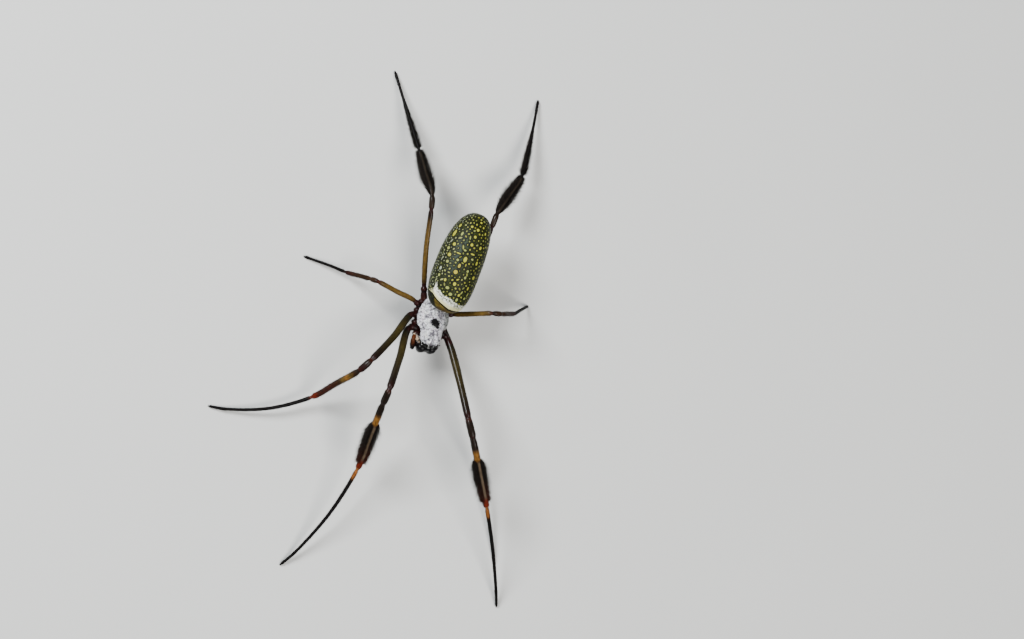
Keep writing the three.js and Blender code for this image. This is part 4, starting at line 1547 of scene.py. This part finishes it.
@dataclass
class MouthParts:
    """Jaws with folded fangs, the palps with their roots, the plate above them and pale folds beside them."""

    finish: Finishes
    jaw: Sequence[Point] = ((1.08, -4.8, 8.25), (1.015, -5.195, 6.875), (0.95, -5.35, 5.5))
    jaw_radius: float = 1.02
    jaw_form: Profile = (
        (0, 0.3), (0.03, 0.58), (0.1, 0.82), (0.3, 1), (0.7, 0.94), (0.9, 0.7), (0.97, 0.5), (1, 0.25),
    )
    jaw_marks: Keys = keys("0 JET, 0.85 JET, 1 MAROON")
    jaw_hairs: int = 300
    jaw_cut: HairCut = HairCut(0.3, 0.03, 40)
    fang: Sequence[Point] = ((0.95, -5.4, 5.8), (0.88, -5.6, 5.0), (0.55, -5.2, 4.75), (0.25, -4.6, 4.95))
    fang_form: Profile = ((0, 0.3), (0.5, 0.22), (0.9, 0.08), (1, 0.02))
    palps: dict[Side, Sequence[Point]] = field(
        default_factory=lambda: {
            Side.RIGHT: (
                (1.75, -3.2, 6.4), (2.65, -2.9, 7.2), (3.25, -3.5, 8.1), (3.1, -4.8, 7.7), (2.65, -5.6, 6.4),
            ),
            Side.LEFT: (
                (1.75, -3.2, 6.3), (2.45, -3.3, 5.9), (2.6, -3.9, 5.1), (2.25, -4.8, 4.3), (1.7, -5.7, 3.8),
            ),
        }
    )
    palp_form: Profile = (
        (0, 0.32), (0.06, 0.4), (0.22, 0.44), (0.28, 0.37), (0.32, 0.44), (0.42, 0.43), (0.46, 0.37),
        (0.52, 0.45), (0.7, 0.44), (0.74, 0.36), (0.8, 0.41), (0.92, 0.32), (0.98, 0.17), (1, 0.04),
    )
    palp_marks: Keys = keys("0 PALE_SKIN, 0.2 PALE_SKIN, 0.28 PALP, 0.62 PALP, 0.74 MAROON, 0.8 BLACK,"
                            "1 BLACK")
    palp_hairs: int = 900
    palp_cut: HairCut = HairCut(0.36, 0.032, 45, unevenness=0.4)
    brow_middle: Point = (0.15, -4.9, 6.9)
    brow_half: Point = (1.5, 1.08, 1.5)
    lobes: dict[Side, tuple[Point, Point]] = field(
        default_factory=lambda: {
            Side.RIGHT: ((-1.95, -4.4, 6.5), (0.95, 0.8, 0.95)),
            Side.LEFT: ((1.85, -4.6, 6.6), (0.8, 0.75, 0.95)),
        }
    )
    cheeks: dict[Side, Sequence[Point]] = field(
        default_factory=lambda: {
            Side.RIGHT: ((-1.4, -4.2, 7.4), (-2.2, -3.5, 7.7), (-3.1, -2.5, 7.3)),
            Side.LEFT: ((1.1, -4.1, 6.8), (1.5, -3.6, 6.9), (1.9, -3.0, 6.8)),
        }
    )
    cheek_form: Profile = ((0, 0.2), (0.1, 0.38), (0.5, 0.46), (0.9, 0.4), (1, 0.2))
    cheek_matt: float = 0.8
    cheek_hairs: int = 160
    cheek_cut: HairCut = HairCut(0.26, 0.04, 40, scatter=25)

    def build_jaw(self, side: Side, coat: Coat) -> None:
        """Makes one jaw base, its fang and its hair.

        Args:
            side: The side.
            coat: Hair of the mouth parts.
        """
        form = [(share, radius * self.jaw_radius) for share, radius in self.jaw_form]
        jaw = cone(self.jaw, form, 48, 40, on_side(side))
        paint_points(jaw.mesh, blend_paint(self.jaw_marks, jaw.along))
        add_piece(f"jaw_{side.word}", jaw.mesh, self.finish.shell, "face", f"chelicera_{side.word}")
        fang = cone(self.fang, self.fang_form, 24, 14, on_side(side))
        paint_points(fang.mesh, Paint.MAROON.linear * 0.6)
        add_piece(f"fang_{side.word}", fang.mesh, self.finish.shell, "face")
        roots = coat.roots(jaw, self.jaw_hairs, smooth_step(0.5, 0.8, jaw.along))
        coat.grow(roots, self.jaw_cut, Paint.BLACK.linear, Paint.BRISTLE.linear)

    def build_palp(self, side: Side, coat: Coat) -> None:
        """Makes one palp and its hair.

        Args:
            side: The side.
            coat: Hair of the mouth parts.
        """
        palp = cone(self.palps[side], self.palp_form, 90, 20, on_side(side))
        paint_points(palp.mesh, blend_paint(self.palp_marks, palp.along))
        add_piece(f"palp_skin_{side.word}", palp.mesh, self.finish.shell, "palp", f"palp_{side.word}")
        roots = coat.roots(palp, self.palp_hairs, 0.15 + smooth_step(0.4, 0.8, palp.along))
        coat.grow(roots, self.palp_cut, Paint.BRISTLE.linear, Paint.BRISTLE_TIP.linear)

    def build_lobe(self, side: Side, coat: Coat) -> None:
        """Makes the dark root of one palp and the pale soft fold between it and the shield.

        Args:
            side: The side.
            coat: Hair of the mouth parts.
        """
        middle, half = self.lobes[side]
        mesh, points = ball(half, middle, 36, 24, in_prosoma)
        paint_points(mesh, Paint.MAROON.linear * (0.2 + 0.6 * cloud(points, 0.4, 25)[:, None]))
        add_piece(f"palp_root_{side.word}", mesh, self.finish.shell, "palp")
        cheek = cone(self.cheeks[side], self.cheek_form, 40, 24, in_prosoma)
        light = smooth_step(0.35, 0.6, cloud(cheek.points, 0.3, 27))[:, None]
        paint_points(cheek.mesh, between(Paint.DARK_BROWN.linear, Paint.PALE_SKIN.linear, light))
        mark_points(cheek.mesh, matt=np.full(len(cheek.points), self.cheek_matt))
        add_piece(f"cheek_{side.word}", cheek.mesh, self.finish.shell, "palp")
        roots = coat.roots(cheek, self.cheek_hairs, np.ones(len(cheek.points)))
        coat.grow(roots, self.cheek_cut, Paint.SILVER.linear * 0.6)

    def build(self) -> None:
        """Makes the mouth parts of both sides and the dark plate between the shield and the jaws."""
        coat = Coat(seed=23)
        for side in Side:
            self.build_jaw(side, coat)
            self.build_palp(side, coat)
            self.build_lobe(side, coat)
        mesh, points = ball(self.brow_half, self.brow_middle, 40, 28, in_prosoma)
        paint_points(mesh, Paint.JET.linear * (0.6 + 0.8 * cloud(points, 0.4, 29)[:, None]))
        add_piece("brow_plate", mesh, self.finish.polish, "face")
        coat.build("mouth_hair", self.finish.bristle, "face")


@dataclass(frozen=True)
class Spot:
    """A pale spot: mm along the back, turn from the top, half sizes along and round, colour and tilt."""

    along: float
    turn: float
    half_along: float
    half_round: float
    colour: Array
    tilt: float = 0.0


LARGE_SPOTS: dict[Paint, Sequence[tuple[float, float, float, float]]] = {
    Paint.SPOT_YELLOW: (
        (15.4, -64, 0.75, 0.36), (17.2, -62, 0.45, 0.26), (17.8, -23, 0.26, 0.26), (17.6, -1, 0.32, 0.3),
        (16.1, -2, 0.3, 0.3), (13.3, -47, 0.35, 0.36), (11.0, -48, 0.37, 0.4), (11.9, -26, 0.13, 0.45),
        (14.4, -3, 0.33, 0.3), (14.4, 24, 0.36, 0.28), (12.7, 8, 0.16, 0.5), (11.2, -5, 0.6, 0.36),
        (11.3, 29, 0.45, 0.24), (8.4, 37, 0.38, 0.32), (5.9, -8, 0.38, 0.33), (6.0, -34, 0.33, 0.25),
        (6.0, 32, 0.36, 0.22), (4.1, 14, 0.3, 0.26), (17.4, 28, 0.32, 0.2), (19.2, 3, 0.22, 0.24),
        (18.4, 16, 0.24, 0.2),
    ),
    Paint.SPOT_PALE: (
        (15.8, -40, 0.45, 0.24), (12.2, -59, 0.3, 0.34), (9.6, -46, 0.3, 0.32), (4.7, -22, 0.3, 0.4),
        (3.7, -9, 0.33, 0.37), (3.9, 36, 0.3, 0.28), (3.1, 14, 0.38, 0.27), (7.8, 12, 0.3, 0.25),
        (9.2, 12, 0.27, 0.27), (6.5, -55, 0.3, 0.27), (10.6, -22, 0.27, 0.27), (11.7, 12, 0.2, 0.3),
        (12.9, -14, 0.2, 0.3),
    ),
    Paint.SPOT_ORANGE: ((9.6, -13, 0.45, 0.27), (8.2, -16, 0.42, 0.42)),
    # A flank spot, paled by painted grazing sheen.
    Paint.SPOT_WHITE: ((7.9, -58, 0.4, 0.26),),
}


@dataclass
class HindBody:
    """The abdomen with its spotted hide and velvet, the waist and the spinnerets.

    The band's rows are turns from the top in degrees, with the lengths along the back at which it starts and
    ends.
    """

    finish: Finishes
    front: Point = (0.2, 2.9, 11.8)
    length: float = 20.8
    width: float = 9.4
    height: float = 8.5
    widest: float = 0.42
    front_power: float = 2.9
    back_power: float = 2.5
    turn: float = math.radians(-3)
    lift: float = math.radians(3)
    bend: float = 0.33
    band: Sequence[Point] = (
        (-95, 3.2, 3.2), (-78, 2.95, 3.1), (-62, 2.7, 3.4), (-57, 2.5, 4.6), (-53, 2.3, 4.9),
        (-48, 2.1, 4.1), (-42, 1.85, 3.9), (-28, 1.5, 3.0), (-10, 1.15, 2.95), (6, 0.95, 2.7),
        (25, 0.95, 2.35), (48, 1.1, 2.5), (75, 1.5, 3.0), (92, 2.0, 2.0),
    )
    grid: tuple[int, int] = (380, 250)
    spot_gap: float = 0.62
    spot_tries: int = 18000
    spot_reach: float = 1.6
    small_spot: tuple[float, float] = (0.12, 0.2)
    velvet: int = 9000
    velvet_cut: HairCut = HairCut(0.26, 0.02, 30, 12, scatter=14, unevenness=0.4)
    waist: Sequence[Point] = ((-1.0, 5.1, 7.5), (-0.46, 6.0, 7.93), (-0.2, 6.75, 8.35))
    waist_form: Profile = ((0, 0.36), (0.3, 0.46), (0.5, 0.42), (0.7, 0.46), (1, 0.4))
    boss_middle: Point = (0, 18.9, -2.6)
    boss_half: Point = (0.74, 0.74, 0.45)
    cones: int = 6
    cone_ring: float = 0.4
    cone_lean: float = 0.28
    cone_length: float = 1.25
    cone_form: Profile = (
        (0, 0.3), (0.45, 0.29), (0.5, 0.24), (0.55, 0.27), (0.85, 0.2), (0.95, 0.13), (1, 0.05),
    )
    cone_marks: Keys = keys("0 MAROON, 0.6 OCHRE_DARK, 1 DARK_BROWN")
    cone_hairs: int = 90
    cone_cut: HairCut = HairCut(0.28, 0.026, 35)

    def placed(self, p: Array) -> Array:
        """Points of the hind body's own axes in the frame."""
        turn = Matrix.Rotation(self.turn, 3, "Z") @ Matrix.Rotation(self.lift, 3, "X")
        return p @ np.array(turn).T + np.array(self.front) + BODY_PLACE

    def radius(self, share: Array) -> Array:
        """Share of the full radius.

        Args:
            share: Shares of the length.

        Returns:
            The factor at each.
        """
        ahead = share < self.widest
        reach = np.where(ahead, 1 - share / self.widest, (share - self.widest) / (1 - self.widest))
        power = np.where(ahead, self.front_power, self.back_power)
        return np.maximum(0, 1 - np.clip(reach, 0, 1) ** power) ** (1 / power)

    def surface(self, along: Array, turn: Array) -> Array:
        """Places on the hide, in its own axes.

        Args:
            along: Lengths along the back.
            turn: Turns from the top, in radians.

        Returns:
            One place for each.
        """
        share = along / self.length
        radius = self.radius(share)
        across = self.width / 2 * radius * np.sin(turn) - 4 * self.bend * share * (1 - share)
        return np.column_stack([across, along, self.height / 2 * radius * np.cos(turn)])

    def spot_place(self, along: float, turn: float) -> Array:
        """Place of a spot's middle, in the hide's own axes."""
        return self.surface(np.array([along]), np.array([turn]))[0]

    def spots(self) -> list[Spot]:
        """The large spots, and small ones scattered between them, closer down the sides and paler there as
        painted grazing sheen.
        """
        spots = [
            Spot(along, math.radians(turn), half_along, half_round, paint.linear)
            for paint, rows in LARGE_SPOTS.items() for along, turn, half_along, half_round in rows
        ]
        places = [self.spot_place(spot.along, spot.turn) for spot in spots]
        sizes = [max(spot.half_along, spot.half_round) for spot in spots]
        rng = np.random.default_rng(31)
        for _ in range(self.spot_tries):
            along, turn = rng.uniform(0.4, self.length - 0.1), rng.uniform(-math.pi, math.pi)
            place = self.spot_place(along, turn)
            side = float(smooth_step(25, 80, np.array([abs(math.degrees(turn) - 8)]))[0])
            small = rng.uniform(*self.small_spot) * (1 - 0.1 * side)
            spare = self.spot_gap * rng.uniform(0.92, 1.1) * (1 - 0.22 * side)
            far = np.linalg.norm(np.array(places) - place, axis=1)
            far -= 0.8 * np.maximum(np.array(sizes) - 0.2, 0)
            if far.min() < spare:
                continue
            stretch = rng.uniform(1.0, 1.5) if rng.random() > 0.1 else rng.uniform(2.0, 2.8)
            # Painted sheen: small spots pale toward white down the sides, where the view grazes the hide.
            tone = between(Paint.SPOT_YELLOW.linear, Paint.SPOT_WHITE.linear, side)
            tone = between(tone, Paint.SPOT_PALE.linear, rng.random())
            tilt = rng.uniform(-1.5, 1.5)
            tone = tone * (rng.uniform(0.45, 0.9) + 0.05 * side)
            spots.append(Spot(along, turn, small * stretch, small, tone, tilt))
            places.append(place)
            sizes.append(small * stretch)
        LOG.info("hide: %d spots", len(spots))
        return spots

    def spot_field(self, along: Array, turn: Array) -> tuple[Array, Array]:
        """Distance in mm of each point of the hide from the nearest spot's edge, and that spot's colour.

        Args:
            along: Lengths along the back.
            turn: Turns from the top, in radians.

        Returns:
            The distances, below 0 inside a spot, and linear RGB rows.
        """
        local = self.surface(along, turn)
        best = np.full(len(along), 9.0)
        colour = np.tile(Paint.SPOT_PALE.linear, (len(along), 1))
        for spot in self.spots():
            place = self.spot_place(spot.along, spot.turn)
            near = np.nonzero(np.linalg.norm(local - place, axis=1) < self.spot_reach)[0]
            radius = self.width / 2 * self.radius(along[near] / self.length)
            around = np.angle(np.exp(1j * (turn[near] - spot.turn))) * radius
            forth = np.linalg.norm(local[near] - place, axis=1) ** 2 - around**2
            forth = np.sign(along[near] - spot.along) * np.sqrt(np.maximum(forth, 0))
            p = math.cos(spot.tilt) * forth + math.sin(spot.tilt) * around
            q = -math.sin(spot.tilt) * forth + math.cos(spot.tilt) * around
            inside = np.sqrt((p / spot.half_along) ** 2 + (q / spot.half_round) ** 2) - 1
            value = inside * min(spot.half_along, spot.half_round)
            closer = value < best[near]
            best[near[closer]] = value[closer]
            colour[near[closer]] = spot.colour
        return best, colour

    def hide(self) -> Skin:
        """The hide's surface, with the distances that its finish is painted from."""
        mesh, plain = unit_ball(*self.grid)
        share, turn = 0.5 + 0.5 * plain[:, 2], np.arctan2(plain[:, 0], plain[:, 1])
        along, degrees = share * self.length, np.degrees(turn)
        local = self.surface(along, turn)
        spot, spot_paint = self.spot_field(along, turn)
        low, high = (np.interp(degrees, np.array(self.band)[:, 0], np.array(self.band)[:, i]) for i in (1, 2))
        slope = 1 + 0.9 * np.exp(-along / 1.2)
        # Painted sheen: a band of painted sky reflection along the back, a little to its right side, stored
        # as the sheen mark.
        sheen_band = smooth_step(6, 10, along) * (1 - smooth_step(14, 19, along))
        sheen_band *= np.exp(-(((degrees + 24) / 15) ** 2))
        marks = {"along": along, "spot": spot, "band": (high - along) * slope}
        lie = self.placed(BACKWARD) - self.placed(ORIGIN)
        skin = Skin(mesh, self.placed(local), share, turn, lie, marks)
        paint_points(mesh, spot_paint, "spot_paint")
        mark_points(
            mesh,
            spot=spot,
            band=marks["band"],
            band_low=1 - smooth_step(0.3, 0.9, along - low),
            front=(along - (low - 0.42)) * slope,
            belly=smooth_step(105, 135, np.abs(degrees)),
            flank=smooth_step(54, 62, np.abs(degrees - 4)),
            sheen=0.5 * sheen_band * (0.4 + 0.6 * cloud(local, 1.2, 35)),
        )
        return skin

    def grow_velvet(self, coat: Coat, skin: Skin) -> None:
        """Short fine hair that leans to the tail.

        Args:
            coat: The hide's coat.
            skin: Its skin.
        """
        away = np.sqrt(np.clip(1 - (skin.marks["along"] / self.length * 2 - 1) ** 2, 0, 1))
        roots = coat.roots(skin, self.velvet, 0.3 + 0.7 * away)
        pale = smooth_step(0.05, -0.05, roots.marks["spot"]) + smooth_step(-0.1, 0.2, roots.marks["band"])
        paint = between(Paint.RIM.linear, Paint.SPOT_PALE.linear * 0.6, pale.clip(0, 1)[:, None])
        coat.grow(roots, self.velvet_cut, paint)

    def build(self) -> None:
        """Makes the hind body's pieces."""
        skin = self.hide()
        add_piece("hide", skin.mesh, self.finish.hide, "hind_body", "abdomen")
        coat = Coat(seed=41)
        self.grow_velvet(coat, skin)
        coat.build("hide_velvet", self.finish.velvet, "hind_body")
        waist = cone(self.waist, self.waist_form, 30, 24)
        paint_points(waist.mesh, Paint.MAROON.linear)
        add_piece("waist", waist.mesh, self.finish.cuticle, "leg_root", "pedicel")
        self.build_spinnerets()

    def build_spinnerets(self) -> None:
        """Makes the ring of six blunt cones under the tail, with the low boss that carries them."""
        coat = Coat(seed=43)
        boss, _ = ball(self.boss_half, self.boss_middle, 32, 20, self.placed)
        paint_points(boss, Paint.MAROON.linear)
        add_piece("spinneret_boss", boss, self.finish.cuticle, "underside", "spinnerets")
        for i in range(self.cones):
            angle = 2 * math.pi * i / self.cones
            out = np.array([math.cos(angle), math.sin(angle), 0])
            start = self.boss_middle + self.cone_ring * out + [0, 0, 0.1]
            end = start + self.cone_lean * out - self.cone_length * UP
            skin = cone([start, (start + end) / 2, end], self.cone_form, 30, 18, self.placed)
            paint_points(skin.mesh, blend_paint(self.cone_marks, skin.along))
            add_piece(f"spinneret_{i + 1}", skin.mesh, self.finish.cuticle, "underside")
            roots = coat.roots(skin, self.cone_hairs, smooth_step(0.3, 0.9, skin.along))
            coat.grow(roots, self.cone_cut, Paint.BRISTLE.linear)
        coat.build("spinneret_hair", self.finish.velvet, "underside")


@dataclass(frozen=True)
class Camera:
    """The camera, looking steeply down on the animal's right side."""

    distance: float = 760.0
    focal_px: float = 3800.0
    frame_px: tuple[int, int] = (1024, 639)
    target: Point = (0.0, 0.0, 11.5)
    target_px: tuple[float, float] = (436.3, 324.4)
    roll: float = math.radians(18.0)
    pitch: float = math.radians(2.2)
    spin: float = math.radians(17.9)
    sensor: float = 36.0

    def build(self) -> None:
        """Makes the camera and gives it to the scene."""
        toward = np.array([-math.sin(self.roll), -math.sin(self.pitch), 0.0])
        toward[2] = math.sqrt(1 - toward @ toward)
        north = unit(np.array([0, 1.0, 0]) - toward[1] * toward)
        east = np.cross(north, toward)
        right = math.cos(self.spin) * east + math.sin(self.spin) * north
        upward = -math.sin(self.spin) * east + math.cos(self.spin) * north
        offset = np.array(self.target_px) - np.array(self.frame_px) / 2
        shift = (right * offset[0] - upward * offset[1]) * self.distance / self.focal_px
        camera = bpy.data.cameras.new("camera")
        camera.sensor_width = self.sensor
        camera.lens = self.focal_px * self.sensor / self.frame_px[0]
        camera.clip_start, camera.clip_end = 0.01, 10.0
        item = show("camera", camera)
        item.matrix_world = Matrix([[*column, 0] for column in zip(right, upward, toward)] + [[0, 0, 0, 1]])
        item.location = Vector((np.array(self.target) + BODY_PLACE + self.distance * toward - shift) * MM)
        bpy.context.scene.camera = item


@dataclass(frozen=True)
class Lamp:
    """A soft round lamp that looks at the animal: direction it stands in, distance, size and power."""

    name: str
    toward: Point
    distance: float
    size: float
    power: float
    tint: Colour = (1.0, 1.0, 1.0)

    def build(self) -> None:
        """Makes the lamp."""
        light = bpy.data.lights.new(self.name, "AREA")
        light.shape, light.size, light.energy, light.color = "DISK", self.size, self.power, self.tint
        item = show(self.name, light)
        direction = Vector(self.toward).normalized()
        item.location = direction * self.distance
        item.rotation_euler = direction.to_track_quat("Z", "Y").to_euler()


@dataclass(frozen=True)
class Studio:
    """Plain pale floor, soft lamps and an even sky."""

    floor_size: float = 6.0
    sky: Colour = (0.72, 0.8, 0.92)
    sky_strength: float = 0.22
    lamps: tuple[Lamp, ...] = (
        Lamp("window", (-0.72, 0.28, 0.66), 0.6, 0.22, 8.0, (0.95, 0.98, 1.0)),
        Lamp("overhead", (0.3, -0.2, 0.93), 0.8, 0.5, 9.0, (1.0, 0.98, 0.95)),
    )

    def build(self) -> None:
        """Makes the floor, the lamps and the sky."""
        bm = bmesh.new()
        bmesh.ops.create_grid(bm, x_segments=8, y_segments=8, size=self.floor_size / 2)
        mesh, _ = plain_mesh(bm)
        mesh.name = "floor"
        mesh.materials.append(PalePaper().build())
        show("floor", mesh)
        for lamp in self.lamps:
            lamp.build()
        world = bpy.data.worlds.new("sky")
        world.use_nodes = True
        background = world.node_tree.nodes["Background"]
        background.inputs[0].default_value = (*self.sky, 1.0)
        background.inputs[1].default_value = self.sky_strength
        bpy.context.scene.world = world


def main() -> None:
    """Builds the camera, the room and the animal."""
    logging.basicConfig(level=logging.INFO, format="%(name)s %(message)s")
    Camera().build()
    Studio().build()
    finish = Finishes()
    for stance in STANCES:
        Leg(stance, finish).build()
    for part in (ForeBody, BreastPlate, Eyes, MouthParts, HindBody):
        part(finish).build()


if __name__ == "__main__":
    main()
